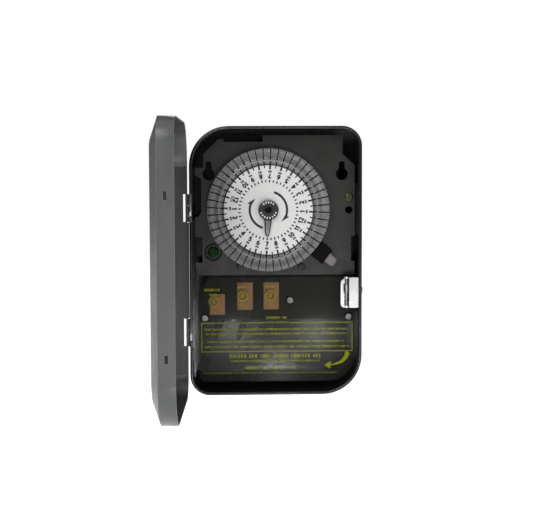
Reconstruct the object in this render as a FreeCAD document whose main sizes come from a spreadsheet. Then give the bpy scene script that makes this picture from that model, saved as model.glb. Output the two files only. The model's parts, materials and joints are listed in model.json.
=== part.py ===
import FreeCAD, Part
import math
import os
import Sketcher
from FreeCAD import Placement, Rotation, Vector

# A 24 hour mechanical dial timer in a hinged, wall-mounted steel case, drawn with its door open.
#
# Row frame: the wall is the plane Y = 0 and the case stands out of it along -Y, X is to the
# right and Z is up. The origin is the centre of the case's back face. "out" in a size's name
# is a distance from the wall, so a face at out = 40 lies at Y = -40. All sizes are in mm.

SIZES = {
    # drawn steel case: two opposite corners are round, the other two tighter
    "case_width": 138.2, "case_height": 216.0, "case_out": 60.0, "case_sheet": 1.2,
    "corner_big": 32.0, "corner_small": 16.0, "case_back_round": 3.0,
    "rim_width": 2.6, "rim_round": 1.2,
    "wall_hole_x": 44.5, "wall_hole_top": 88.0, "wall_hole_low": -42.0, "wall_hole_r": 2.6,
    "knockout_r": 11.1, "knockout_slit": 0.5, "knockout_tie": 3.0, "knockout_depth": 0.45,
    "knockout_out": 31.0,
    "knockout_left_x": -20.8, "knockout_right_x": 33.4, "knockout_side_z": -70.0,
    # door: a skirted pan with a broad bevel, standing outside the case's rim
    "door_gap": 0.6, "door_sheet": 1.1, "door_overlap": 2.45, "door_skirt": 12.5,
    "door_bevel_width": 16.0, "door_bevel_rise": 6.0, "door_inner_big": 19.0,
    "door_inner_small": 8.0, "door_open": 91.8,
    "door_slot_z": 54.7, "door_slot_low_z": -57.4, "door_slot_half": 3.0,
    "door_slot_from": 5.2, "door_slot_to": 7.9, "door_lip": 1.2,
    # hinges
    "hinge_x": -68.6, "hinge_out": 55.5, "hinge_upper_z": 42.8, "hinge_lower_z": -57.4,
    "hinge_half": 11.1, "knuckle_r": 1.7, "hinge_pin_r": 0.93, "hinge_bore_r": 0.98,
    "leaf_sheet": 0.95, "box_knuckle_top": 1.8, "box_knuckle_bottom": -6.2,
    "leaf_back_out": 40.0, "leaf_slot_from": 0.8, "leaf_slot_to": 3.4, "leaf_hook_sheet": 0.7,
    # latch in the right-hand wall
    "latch_top": -13.6, "latch_bottom": -38.0, "latch_left": 58.5, "latch_sheet": 1.0,
    "latch_front_out": 57.2, "latch_base_out": 42.0, "latch_pin_x": 57.3, "latch_pin_out": 53.6,
    "latch_pin_r": 0.95, "latch_bore_r": 1.0, "latch_hub_r": 2.1, "latch_tab_left": 52.9,
    "latch_hub_top": -19.7, "latch_hub_bottom": -25.8, "latch_rivet_z": -24.8,
    "latch_rivet_out": 49.0,
    # mechanism plate
    "plate_out": 38.0, "plate_thick": 2.0, "plate_bottom": -12.8, "plate_hole_r": 7.0,
    "key_left_x": -53.7, "key_right_x": 55.0, "key_z": 69.7, "key_r": 4.95, "key_slot_r": 2.5,
    "key_slot_up": 8.1,
    "plate_screw_x": 60.8, "plate_screw_z": 50.9, "spare_hole_z": 40.4, "spare_hole_r": 3.1,
    "ground_x": -50.3, "ground_z": 6.2,
    # gear housing behind the plate
    "house_left": -46.0, "house_right": 46.0, "house_bottom": -10.0, "house_top": 94.0,
    "house_back_out": 16.0, "house_wall": 1.6,
    # dial
    "dial_x": -5.6, "dial_z": 40.8, "dial_turned": -92.5, "tripper_count": 48,
    "tripper_r": 49.8, "tripper_inner_r": 36.35, "tripper_gap": 0.7, "tripper_out": 50.2,
    "tripper_thick": 3.6, "tripper_leg_out": 42.6, "tripper_leg_from": 45.4, "tripper_leg_to": 47.4,
    "wire_r": 40.0, "wire_out": 47.1, "wire_half": 0.6, "wire_bore": 0.68,
    "disc_r": 36.0, "disc_out": 50.6, "disc_thick": 1.0,
    "carrier_out": 42.2, "carrier_web": 1.4, "carrier_r": 43.6, "hub_r": 6.0, "arbor_r": 3.0,
    "arbor_bore": 3.05,
    "pointer_r": 8.2, "pointer_lean": -3.0, "pointer_reach": 21.7, "pointer_out": 52.0, "pointer_thick": 2.2,
    # gear train
    "gear_module": 0.8, "dial_teeth": 72, "idler_pinion_teeth": 12, "idler_teeth": 40,
    "motor_teeth": 10, "dial_gear_out": 30.0, "gear_face": 3.0, "idler_gear_out": 22.0,
    "idler_angle": 120.0, "motor_angle": -20.0,
    "motor_r": 24.5, "motor_out": 3.0, "motor_depth": 11.8,
    # manual override lever and switch
    "lever_angle": -39.0, "lever_pivot_r": 36.0, "lever_out": 38.5, "lever_thick": 2.0,
    "lever_block_from": 50.2, "lever_block_to": 62.0, "lever_block_out": 44.5,
    "lever_width": 14.0, "lever_tip_to": 70.0, "lever_tip_width": 7.6, "lever_shaft_r": 2.5,
    "blade_left": -1.0, "blade_right": 31.0, "blade_z": 4.6, "blade_sheet": 0.6,
    # terminals
    "block_left": -62.0, "block_right": 64.0, "block_top": -13.6, "block_bottom": -50.0,
    "block_back_out": 22.0, "block_out": 30.0, "bar_out": 31.5, "rib_out": 37.5,
    "rib_width": 1.6, "neck_cover": 5.6, "terminal_head_r": 4.15,
    # clear insulator
    "shield_left": -63.3, "shield_right": 64.9, "shield_top": -14.0, "shield_bottom": -100.3,
    "shield_back_out": 38.5, "shield_thick": 1.5,
    "lead_r": 1.4,
}


BLOCK_RIBS = (-36.5, -14.2, 7.4)


class Size:
    """A number together with the sheet expression that gives it."""

    def __init__(self, value, text):
        self.value = float(value)
        self.text = text

    def combine(self, other, sign, value):
        return Size(value, "(%s %s %s)" % (self.text, sign, to_size(other).text))

    def __add__(self, other):
        return self.combine(other, "+", self.value + to_size(other).value)

    def __sub__(self, other):
        return self.combine(other, "-", self.value - to_size(other).value)

    def __mul__(self, other):
        return self.combine(other, "*", self.value * to_size(other).value)

    def __truediv__(self, other):
        return self.combine(other, "/", self.value / to_size(other).value)

    def __neg__(self):
        return Size(-self.value, "(-%s)" % self.text)


def to_size(number):
    return number if isinstance(number, Size) else Size(number, "%.4f" % number)


def size(alias):
    """The sheet's size of that name, bound by expression wherever it is used."""
    return Size(SIZES[alias], "Sizes." + alias)


doc = FreeCAD.newDocument("dial_timer")
sheet = doc.addObject("Spreadsheet::Sheet", "Sizes")
for row, (alias, number) in enumerate(SIZES.items(), start=1):
    sheet.set("A%d" % row, alias)
    sheet.set("B%d" % row, str(number))
    sheet.setAlias("B%d" % row, alias)
doc.recompute()

nodes = []


# ---- helpers: bodies, sketches and features ----

def new_body(label):
    body = doc.addObject("PartDesign::Body", label)
    body.Label = label
    body.AllowCompound = True
    nodes.append(body)
    return body


def origin_item(body, role):
    return [item for item in body.Origin.OriginFeatures if item.Role == role][0]


def new_sketch(body, role, offset):
    """A sketch on an origin plane. On XZ_Plane its normal points out of the wall."""
    sketch = body.newObject("Sketcher::SketchObject", "sketch")
    sketch.AttachmentSupport = [(origin_item(body, role), "")]
    sketch.MapMode = "FlatFace"
    offset = to_size(offset)
    sketch.AttachmentOffset = Placement(Vector(0, 0, offset.value), Rotation())
    sketch.setExpression("AttachmentOffset.Base.z", offset.text)
    return sketch


def bind(sketch, kind, *where_and_value):
    *where, number = where_and_value
    number = to_size(number)
    index = sketch.addConstraint(Sketcher.Constraint(kind, *where, number.value))
    sketch.setExpression("Constraints[%d]" % index, number.text)


def add_polygon(sketch, points):
    """A closed outline of straight edges whose corners are bound to the sheet."""
    points = [(to_size(x), to_size(y)) for x, y in points]
    corners = [Vector(x.value, y.value, 0) for x, y in points]
    first = sketch.GeometryCount
    for start, end in zip(corners, corners[1:] + corners[:1]):
        sketch.addGeometry(Part.LineSegment(start, end), False)
    for number, (x, y) in enumerate(points):
        edge = first + number
        following = first + (number + 1) % len(points)
        sketch.addConstraint(Sketcher.Constraint("Coincident", edge, 2, following, 1))
        bind(sketch, "DistanceX", -1, 1, edge, 1, x)
        bind(sketch, "DistanceY", -1, 1, edge, 1, y)


def add_rectangle(sketch, left, bottom, right, top):
    add_polygon(sketch, [(left, bottom), (right, bottom), (right, top), (left, top)])


def add_circle(sketch, x, y, radius):
    x, y, radius = to_size(x), to_size(y), to_size(radius)
    centre = Vector(x.value, y.value, 0)
    index = sketch.addGeometry(Part.Circle(centre, Vector(0, 0, 1), radius.value), False)
    bind(sketch, "Radius", index, radius)
    bind(sketch, "DistanceX", -1, 1, index, 3, x)
    bind(sketch, "DistanceY", -1, 1, index, 3, y)


def add_rounded(sketch, left, bottom, right, top, big, small):
    """A rectangle whose upper left and lower right corners are the big ones."""
    left, bottom, right, top = [to_size(side) for side in (left, bottom, right, top)]
    radii = [to_size(radius) for radius in (small, big, small, big)]
    corners = [(left, bottom), (right, bottom), (right, top), (left, top)]
    inward = [(1, 1), (-1, 1), (-1, -1), (1, -1)]
    first = sketch.GeometryCount
    centres = []
    for (x, y), (dx, dy), radius in zip(corners, inward, radii):
        centres.append(Vector(x.value + dx * radius.value, y.value + dy * radius.value, 0))
    for number, radius in enumerate(radii):
        start = math.pi + number * math.pi / 2
        circle = Part.Circle(centres[number], Vector(0, 0, 1), radius.value)
        sketch.addGeometry(Part.ArcOfCircle(circle, start, start + math.pi / 2), False)
    for number in range(4):
        arc, following = first + number, first + (number + 1) % 4
        ends = sketch.Geometry[arc].EndPoint, sketch.Geometry[following].StartPoint
        line = sketch.addGeometry(Part.LineSegment(*ends), False)
        sketch.addConstraint(Sketcher.Constraint("Tangent", arc, 2, line, 1))
        sketch.addConstraint(Sketcher.Constraint("Tangent", line, 2, following, 1))
        sketch.addConstraint(Sketcher.Constraint("Vertical" if number % 2 else "Horizontal", line))
        bind(sketch, "Radius", arc, radii[number])
    lines = first + 4
    bind(sketch, "DistanceY", -1, 1, lines, 1, bottom)
    bind(sketch, "DistanceX", -1, 1, lines + 1, 1, right)
    bind(sketch, "DistanceY", -1, 1, lines + 2, 1, top)
    bind(sketch, "DistanceX", -1, 1, lines + 3, 1, left)


def pad(body, sketch, length, kind="PartDesign::Pad"):
    feature = body.newObject(kind, "step")
    feature.Profile = sketch
    length = to_size(length)
    feature.Length = length.value
    feature.setExpression("Length", length.text)
    doc.recompute()
    return feature


def pocket(body, sketch, length, reverse=False):
    before = body.Shape.Volume
    feature = pad(body, sketch, length, "PartDesign::Pocket")
    feature.Reversed = reverse
    doc.recompute()
    if body.Shape.Volume > before - 1e-4:
        raise RuntimeError("a pocket of %s cuts nothing" % body.Label)
    return feature


def pad_out(body, draw, low, high):
    """Pad what draw() sketches between two distances from the wall."""
    sketch = new_sketch(body, "XZ_Plane", low)
    draw(sketch)
    return pad(body, sketch, to_size(high) - low)


def cut_out(body, draw, low, high):
    """Cut what draw() sketches between two distances from the wall."""
    sketch = new_sketch(body, "XZ_Plane", high)
    draw(sketch)
    return pocket(body, sketch, to_size(high) - low)


def pad_up(body, draw, low, high):
    """Pad what draw() sketches in plan (x, -out) between two heights."""
    sketch = new_sketch(body, "XY_Plane", low)
    draw(sketch)
    return pad(body, sketch, to_size(high) - low)


def cut_down(body, draw, low, high):
    """Cut what draw() sketches in plan (x, -out) between two heights."""
    sketch = new_sketch(body, "XY_Plane", high)
    draw(sketch)
    return pocket(body, sketch, to_size(high) - low)


def dress(body, kind, base, wanted, amount):
    """Fillet or chamfer those edges of base that wanted(edge) picks."""
    names = []
    for number, edge in enumerate(base.Shape.Edges, start=1):
        if wanted(edge):
            names.append("Edge%d" % number)
    if not names:
        raise RuntimeError("no edge to dress on %s" % body.Label)
    feature = body.newObject(kind, "dress")
    feature.Base = (base, names)
    amount = to_size(amount)
    target = "Radius" if kind.endswith("Fillet") else "Size"
    setattr(feature, target, amount.value)
    feature.setExpression(target, amount.text)
    doc.recompute()
    return feature


def runs_out(edge, x=None, z=None, near=0.05):
    """True for a straight edge along Y, at that x and z where they are given."""
    ends = [vertex.Point for vertex in edge.Vertexes]
    if len(ends) != 2 or edge.Curve.TypeId != "Part::GeomLine":
        return False
    if abs(ends[0].x - ends[1].x) > near or abs(ends[0].z - ends[1].z) > near:
        return False
    return (x is None or abs(ends[0].x - x) < near) and (z is None or abs(ends[0].z - z) < near)


def at_level(edge, out, near=0.02):
    """True for an edge that lies wholly at that distance from the wall."""
    box = edge.BoundBox
    return abs(box.YMin + out) < near and abs(box.YMax + out) < near


def swing_open(body):
    """Turn a door piece from its closed place to where the door stands open."""
    hinge = Vector(SIZES["hinge_x"], -SIZES["hinge_out"], 0)
    body.Placement = Placement(Vector(), Rotation(Vector(0, 0, 1), -SIZES["door_open"]), hinge)


def on_dial(body, degrees=0.0):
    """Place a piece drawn about the origin on the dial's axis, turned by that angle."""
    turn = Rotation(Vector(0, -1, 0), degrees)
    body.Placement = Placement(Vector(SIZES["dial_x"], 0, SIZES["dial_z"]), turn)


def screws(label, places, head_r, face_out, head_thick, shank_r, shank_length, drive=0.0):
    """A group of pan head screws, their heads seated on face_out, with a cross recess."""
    body = new_body(label)
    face_out = to_size(face_out)

    def heads(sketch):
        for x, z in places:
            add_circle(sketch, x, z, head_r)

    def shanks(sketch):
        for x, z in places:
            add_circle(sketch, x, z, shank_r)

    def crosses(sketch):
        arm, half = drive, drive * 0.22
        for x, z in places:
            x, z = to_size(x), to_size(z)
            add_polygon(sketch, [(x - arm, z - half), (x - half, z - half), (x - half, z - arm),
                                 (x + half, z - arm), (x + half, z - half), (x + arm, z - half),
                                 (x + arm, z + half), (x + half, z + half), (x + half, z + arm),
                                 (x - half, z + arm), (x - half, z + half), (x - arm, z + half)])

    pad_out(body, heads, face_out, face_out + head_thick)
    dress(body, "PartDesign::Fillet", body.Tip,
          lambda edge: at_level(edge, face_out.value + head_thick), head_thick * 0.45)
    pad_out(body, shanks, face_out - shank_length, face_out)
    if drive:
        cut_out(body, crosses, face_out + head_thick * 0.45, face_out + head_thick)
    return body


# ---- the case ----

def case_half(inset=0.0):
    """Left, bottom, right and top of the case's outline, moved inward by inset."""
    half_x, half_z = size("case_width") / 2 - inset, size("case_height") / 2 - inset
    return -half_x, -half_z, half_x, half_z


def case_outline(sketch, inset=0.0):
    big, small = size("corner_big") - inset, size("corner_small") - inset
    add_rounded(sketch, *case_half(inset), big, small)


def add_knockout(sketch, x, y):
    """Two half rings with a tie between them: the groove that a knockout is punched along."""
    radius, tie = SIZES["knockout_r"], SIZES["knockout_tie"] / 2
    inner = radius - SIZES["knockout_slit"]
    for side in (1, -1):
        ring = []
        for reach in (radius, inner):
            rise = math.sqrt(reach * reach - tie * tie)
            low, high = Vector(x + side * tie, y - rise, 0), Vector(x + side * tie, y + rise, 0)
            middle = Vector(x + side * reach, y, 0)
            ring.append((low, high))
            sketch.addGeometry(Part.Arc(low, middle, high), False)
        (outer_low, outer_high), (inner_low, inner_high) = ring
        sketch.addGeometry(Part.LineSegment(outer_low, inner_low), False)
        sketch.addGeometry(Part.LineSegment(outer_high, inner_high), False)


def build_case():
    body = new_body("enclosure_box")
    sheet_size, out = size("case_sheet"), size("case_out")
    shell = pad_out(body, case_outline, 0, out)
    dress(body, "PartDesign::Fillet", shell, lambda edge: at_level(edge, 0), size("case_back_round"))
    cut_out(body, lambda sketch: case_outline(sketch, sheet_size), sheet_size, out)

    def rim(sketch):
        case_outline(sketch)
        case_outline(sketch, size("rim_width"))

    hem = pad_out(body, rim, out - size("rim_width"), out)
    dress(body, "PartDesign::Fillet", hem, lambda edge: at_level(edge, SIZES["case_out"]),
          size("rim_round"))

    left, bottom, right, top = case_half()
    notch_low = size("hinge_out") - size("knuckle_r") - 0.6
    notch_half = size("hinge_half") + 0.6
    for middle in (size("hinge_upper_z"), size("hinge_lower_z")):
        cut_out(body, lambda sketch: add_rectangle(
            sketch, left - 1, middle - notch_half, left + size("rim_width") + 0.6,
            middle + notch_half), notch_low, out + 1)

    def wall_holes(sketch):
        for x in (-size("wall_hole_x"), size("wall_hole_x")):
            for z in (size("wall_hole_low"), size("wall_hole_top")):
                add_circle(sketch, x, z, size("wall_hole_r"))

    cut_out(body, wall_holes, -1, 3)
    depth = size("knockout_depth")
    cut_out(body, lambda sketch: add_knockout(sketch, 0.0, SIZES["knockout_side_z"]), -1, depth)

    def bottom_grooves(sketch):
        for x in (SIZES["knockout_left_x"], SIZES["knockout_right_x"]):
            add_knockout(sketch, x, -SIZES["knockout_out"])

    cut_down(body, bottom_grooves, bottom - 1, bottom + depth)
    cut_down(body, bottom_grooves, bottom + sheet_size - depth, bottom + sheet_size + 1)
    for low in (left - 1, right - depth):
        sketch = new_sketch(body, "YZ_Plane", low + 1 + depth)
        add_knockout(sketch, -SIZES["knockout_out"], SIZES["knockout_side_z"])
        pocket(body, sketch, depth + 1)

    sketch = new_sketch(body, "YZ_Plane", right + 1)
    add_circle(sketch, -size("latch_rivet_out"), size("latch_rivet_z"), 1.6)
    pocket(body, sketch, 3)


def build_rails():
    """Folded rails spot-welded inside the side walls, which carry the mechanism plate."""
    inside, thick = case_half(size("case_sheet"))[2], size("case_sheet")
    flange_out = size("plate_out") - size("plate_thick")
    for label, side, low, high, tabs in (
            ("left_support_rail", -1, 18.0, 75.0, ((18.0, 33.0, 12.0), (68.0, 75.0, 7.5))),
            ("right_support_rail", 1, 20.0, 62.0, ((20.0, 62.0, 12.0),))):
        body = new_body(label)
        wall, web = inside * side, (inside - thick) * side
        first, last = (wall, web) if side < 0 else (web, wall)
        pad_out(body, lambda sketch: add_rectangle(sketch, first, low, last, high),
                size("leaf_back_out") - 20, flange_out)
        for tab_low, tab_high, width in tabs:
            reach = (inside - width) * side
            near, far = (wall, reach) if side < 0 else (reach, wall)
            pad_out(body, lambda sketch: add_rectangle(sketch, near, tab_low, far, tab_high),
                    flange_out - thick, flange_out)
        if side > 0:
            cut_out(body, lambda sketch: add_circle(sketch, size("plate_screw_x"),
                                                    size("plate_screw_z"), 2.05),
                    flange_out - 3, flange_out + 1)
            cut_out(body, lambda sketch: add_circle(sketch, size("plate_screw_x"),
                                                    size("spare_hole_z"), size("spare_hole_r") + 0.4),
                    flange_out - 3, flange_out + 1)


# ---- the door and its hinges ----

def door_outline(sketch, inset=0.0):
    grow = size("door_gap") + size("door_sheet") - inset
    big, small = size("corner_big") + grow, size("corner_small") + grow
    add_rounded(sketch, *case_half(-grow), big, small)


def bevel_outline(sketch, inset=0.0):
    grow = size("door_gap") + size("door_sheet") - inset - size("door_bevel_width")
    add_rounded(sketch, *case_half(-grow), size("door_inner_big"), size("door_inner_small"))


def loft(body, kind, draw_low, low, draw_high, high):
    before = body.Shape.Volume if body.Tip else 0.0
    lower, upper = new_sketch(body, "XZ_Plane", low), new_sketch(body, "XZ_Plane", high)
    draw_low(lower)
    draw_high(upper)
    doc.recompute()
    feature = body.newObject(kind, "bevel")
    feature.Profile = lower
    feature.Sections = [upper]
    feature.Ruled = True
    doc.recompute()
    if abs(body.Shape.Volume - before) < 1.0:
        raise RuntimeError("a loft of %s changes nothing" % body.Label)
    return feature


def build_door():
    body = new_body("door_shell")
    sheet_size = size("door_sheet")
    rim = size("case_out") - size("door_overlap")
    ridge = rim + size("door_skirt")
    face = ridge + size("door_bevel_rise")
    pad_out(body, door_outline, rim, ridge)
    loft(body, "PartDesign::AdditiveLoft", door_outline, ridge, bevel_outline, face)
    cut_out(body, lambda sketch: door_outline(sketch, sheet_size), rim, ridge - 0.4)
    loft(body, "PartDesign::SubtractiveLoft",
         lambda sketch: door_outline(sketch, sheet_size), ridge - 0.4,
         lambda sketch: bevel_outline(sketch, sheet_size), face - sheet_size)

    left, bottom, right, top = case_half(-(size("door_gap") + sheet_size))
    for z in (size("door_slot_z"), size("door_slot_low_z")):
        sketch = new_sketch(body, "YZ_Plane", right + 1)
        add_rectangle(sketch, -(rim + size("door_slot_to")), z - size("door_slot_half"),
                      -(rim + size("door_slot_from")), z + size("door_slot_half"))
        pocket(body, sketch, 3)
    for z in (size("hinge_upper_z"), size("hinge_lower_z")):
        sketch = new_sketch(body, "YZ_Plane", left + 3)
        add_rectangle(sketch, -(rim + size("leaf_slot_to")), z - size("hinge_half"),
                      -(rim + size("leaf_slot_from")), z + size("hinge_half"))
        pocket(body, sketch, 4)
    lip_low = size("hinge_lower_z") + size("hinge_half") + 0.6
    lip_high = size("hinge_upper_z") - size("hinge_half") - 0.6
    pad_out(body, lambda sketch: add_rectangle(sketch, left, lip_low, left + sheet_size, lip_high),
            rim - size("door_lip"), rim + 1)
    swing_open(body)


def knuckle(sketch):
    """Plan of a hinge leaf's knuckle round the pin."""
    add_circle(sketch, size("hinge_x"), -size("hinge_out"), size("knuckle_r"))


def clearance(sketch):
    """Room for the other leaf's knuckles to turn in."""
    add_circle(sketch, size("hinge_x"), -size("hinge_out"), size("knuckle_r") + 0.35)


def bore_knuckles(body, low, high):
    x, y = size("hinge_x"), -size("hinge_out")
    cut_down(body, lambda sketch: add_circle(sketch, x, y, size("hinge_bore_r")), low, high)


def build_hinge(place, middle):
    x, out, half = size("hinge_x"), size("hinge_out"), size("hinge_half")
    low, high = middle - half, middle + half
    knuckle_low, knuckle_high = middle + size("box_knuckle_bottom"), middle + size("box_knuckle_top")
    thick = size("leaf_sheet")

    box_leaf = new_body(place + "_hinge_box_leaf")
    wall = case_half(size("case_sheet"))[0]
    pad_up(box_leaf, knuckle, knuckle_low, knuckle_high)
    pad_up(box_leaf, lambda sketch: add_rectangle(sketch, wall, -(out - 1.2), wall + thick,
                                                  -size("leaf_back_out")), low + 1.2, high - 1.2)
    for bottom, top in ((low, knuckle_low), (knuckle_high, high)):
        cut_down(box_leaf, clearance, bottom, top)
    bore_knuckles(box_leaf, knuckle_low - 1, knuckle_high + 1)

    door_leaf = new_body(place + "_hinge_door_leaf")
    inner = case_half(-size("door_gap"))[0]
    hook_back = size("case_out") - size("door_overlap") + size("leaf_slot_from") + 0.1
    hook_front = hook_back + size("leaf_hook_sheet")
    for bottom, top in ((low, knuckle_low - 0.3), (knuckle_high + 0.3, high)):
        pad_up(door_leaf, knuckle, bottom, top)
    pad_up(door_leaf, lambda sketch: add_rectangle(sketch, inner, -hook_front, inner + thick,
                                                   -(out + 1.2)), low, high)
    pad_up(door_leaf, lambda sketch: add_rectangle(
        sketch, inner - size("door_sheet") - 0.9, -hook_front, inner + thick, -hook_back), low, high)
    cut_down(door_leaf, clearance, knuckle_low - 0.3, knuckle_high + 0.3)
    bore_knuckles(door_leaf, low - 1, high + 1)
    swing_open(door_leaf)

    pin = new_body(place + "_hinge_pin")
    pad_up(pin, lambda sketch: add_circle(sketch, x, -out, size("hinge_pin_r")), low - 0.5, high + 0.5)


def build_strike():
    """A bent strip welded inside the door, which comes down in front of the latch pawl."""
    body = new_body("door_strike")
    face = (size("case_out") - size("door_overlap") + size("door_skirt")
            + size("door_bevel_rise") - size("door_sheet"))
    right, thick = size("latch_tab_left") - 1.3, size("latch_sheet")
    low, high = size("latch_bottom") + 6, size("latch_top") - 4
    tip = size("case_out") - size("door_overlap") + 1.2
    pad_up(body, lambda sketch: add_polygon(sketch, [
        (right - 9, -face), (right, -face), (right, -(tip + 0.8)), (right + 0.8, -(tip + 0.8)),
        (right + 0.8, -tip), (right - thick, -tip), (right - thick, -(face - thick)),
        (right - 9, -(face - thick))]), low, high)
    swing_open(body)


# ---- the latch in the right-hand wall ----

def build_latch():
    inside = case_half(size("case_sheet"))[2]
    low, high, thick = size("latch_bottom"), size("latch_top"), size("latch_sheet")
    left, front, base = size("latch_left"), size("latch_front_out"), size("latch_base_out")
    pin_x, pin_y = size("latch_pin_x"), -size("latch_pin_out")

    bracket = new_body("latch_bracket")
    pad_up(bracket, lambda sketch: add_polygon(sketch, [
        (inside, -base), (inside, -front), (left, -front), (left, -(front - 9)),
        (left + thick, -(front - 9)), (left + thick, -(front - thick)),
        (inside - thick, -(front - thick)), (inside - thick, -base)]), low, high)
    corners = ((inside.value, front.value), (left.value, front.value))
    dress(bracket, "PartDesign::Fillet", bracket.Tip,
          lambda edge: any(abs(vertex.X - x) < 0.01 and abs(vertex.Y + out) < 0.01
                           for x, out in corners for vertex in edge.Vertexes)
          and edge.BoundBox.ZLength > 20, thick * 0.9)
    hub_low, hub_high = size("latch_hub_bottom"), size("latch_hub_top")
    cut_down(bracket, lambda sketch: add_rectangle(sketch, left - 1, -(front - thick - 0.1),
                                                   left + thick + 0.1, -(front - 10)),
             low + thick + 0.1, hub_high + 0.4)
    for ear_low, ear_high in ((low, low + thick), (high - thick, high)):
        pad_up(bracket, lambda sketch: add_rectangle(sketch, pin_x - 1.6, pin_y - 1.2,
                                                     left + thick, pin_y + 1.2), ear_low, ear_high)
    cut_down(bracket, lambda sketch: add_circle(sketch, pin_x, pin_y, size("latch_pin_r")),
             low - 1, high + 1)
    sketch = new_sketch(bracket, "YZ_Plane", inside + 1)
    add_circle(sketch, -size("latch_rivet_out"), size("latch_rivet_z"), 1.6)
    pocket(bracket, sketch, 3)

    rivet = new_body("latch_rivet")
    outside = case_half()[2]
    for from_x, to_x, radius in ((outside, outside + 1.6, 3.4), (inside - thick, outside, 1.6),
                                 (inside - thick - 1.2, inside - thick, 2.8)):
        sketch = new_sketch(rivet, "YZ_Plane", from_x)
        add_circle(sketch, -size("latch_rivet_out"), size("latch_rivet_z"), radius)
        pad(rivet, sketch, to_x - from_x)
    face = SIZES["case_width"] / 2 + 1.6
    dress(rivet, "PartDesign::Fillet", rivet.Tip,
          lambda edge: abs(edge.BoundBox.XMin - face) < 0.01, 1.2)

    pin = new_body("latch_pin")
    pad_up(pin, lambda sketch: add_circle(sketch, pin_x, pin_y, size("latch_pin_r")),
           low - 0.8, high + 0.8)

    pawl = new_body("latch_pawl")
    pad_up(pawl, lambda sketch: add_circle(sketch, pin_x, pin_y, size("latch_hub_r")),
           hub_low, hub_high)
    tab_out, tab_left = size("latch_pin_out") - 2.3, size("latch_tab_left")
    pad_up(pawl, lambda sketch: add_rectangle(sketch, pin_x - 1.8, pin_y, pin_x - 0.2,
                                              -(tab_out - thick)), hub_low, hub_high)
    tab = pad_out(pawl, lambda sketch: add_rectangle(
        sketch, tab_left, low - 0.6, pin_x - 0.2, high - 1.6), tab_out - thick, tab_out)
    dress(pawl, "PartDesign::Fillet", tab, lambda edge: runs_out(edge, x=tab_left.value), 3.4)
    cut_down(pawl, lambda sketch: add_circle(sketch, pin_x, pin_y, size("latch_bore_r")),
             hub_low - 1, hub_high + 1)

    spring = new_body("latch_spring")
    turns, wire = 5, 0.35
    rise = (hub_low - 0.3 - (low + thick + 0.3)).value
    pitch = rise / turns
    for turn in range(turns):
        ring_low = low + thick + 0.3 + pitch * turn
        pad_up(spring, lambda sketch: [add_circle(sketch, pin_x, pin_y, radius)
                                       for radius in (1.85, 1.85 - 2 * wire)],
               ring_low, ring_low + pitch)


# ---- mechanism plate, housing and their screws ----

def plate_outline(sketch):
    """The plate's edge, clockwise from the foot of the left side."""
    bottom = size("plate_bottom")
    add_polygon(sketch, [
        (-63.5, bottom), (-64.7, bottom + 10.4), (-59.1, bottom + 10.4), (-59.1, 19.0),
        (-64.7, 19.0), (-64.7, 34.9), (-62.6, 34.9), (-59.8, 39.0), (-59.8, 66.0),
        (-64.7, 69.2), (-64.7, 75.0), (-57.9, 75.0), (-57.9, 86.3), (-45.6, 98.2),
        (-41.5, 98.2), (-41.5, 96.0), (-9.5, 96.0), (-9.5, 101.3), (55.7, 101.3),
        (55.7, 85.9), (65.6, 77.0), (65.6, 19.0), (62.6, 19.0), (62.6, -1.6), (65.6, -1.6),
        (65.6, bottom)])


def add_keyhole(sketch, x):
    """A round hole with a narrower slot running up from it, as one outline."""
    z, radius, slot = SIZES["key_z"], SIZES["key_r"], SIZES["key_slot_r"]
    join = math.sqrt(radius * radius - slot * slot)
    top = SIZES["key_slot_up"]
    left_low, right_low = Vector(x - slot, z + join, 0), Vector(x + slot, z + join, 0)
    left_high, right_high = Vector(x - slot, z + top, 0), Vector(x + slot, z + top, 0)
    sketch.addGeometry(Part.Arc(left_low, Vector(x, z - radius, 0), right_low), False)
    sketch.addGeometry(Part.LineSegment(right_low, right_high), False)
    sketch.addGeometry(Part.Arc(right_high, Vector(x, z + top + slot, 0), left_high), False)
    sketch.addGeometry(Part.LineSegment(left_high, left_low), False)


HOUSE_SCREWS = ((-28.4, -5.9), (21.8, -5.9), (-40.4, 60.0), (21.8, 74.0))
SHIELD_SCREWS = ((-57.5, -47.5), (12.3, -33.2), (60.4, -47.0))
TERMINALS = (("neutral", -50.0, -34.3), ("line", -26.5, -29.7), ("load", -3.7, -29.4))


def pivot_place():
    angle, reach = math.radians(SIZES["lever_angle"]), SIZES["lever_pivot_r"]
    return SIZES["dial_x"] + reach * math.cos(angle), SIZES["dial_z"] + reach * math.sin(angle)


def build_plate():
    body = new_body("mechanism_plate")
    front, back = size("plate_out"), size("plate_out") - size("plate_thick")
    pad_out(body, plate_outline, back, front)

    def holes(sketch):
        pivot_x, pivot_z = pivot_place()
        add_circle(sketch, size("dial_x"), size("dial_z"), size("plate_hole_r"))
        add_circle(sketch, pivot_x, pivot_z, size("lever_shaft_r") + 0.05)
        add_circle(sketch, size("plate_screw_x"), size("plate_screw_z"), 2.3)
        add_circle(sketch, size("plate_screw_x"), size("spare_hole_z"), size("spare_hole_r"))
        add_circle(sketch, size("ground_x"), size("ground_z"), 2.6)
        for x, z in HOUSE_SCREWS:
            add_circle(sketch, x, z, 1.8)
        for x in (SIZES["key_left_x"], SIZES["key_right_x"]):
            add_keyhole(sketch, x)

    cut_out(body, holes, back - 1, front + 1)
    cut_out(body, lambda sketch: [add_circle(sketch, x, z, 3.4) for x, z in HOUSE_SCREWS],
            front - 1.0, front)


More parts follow.
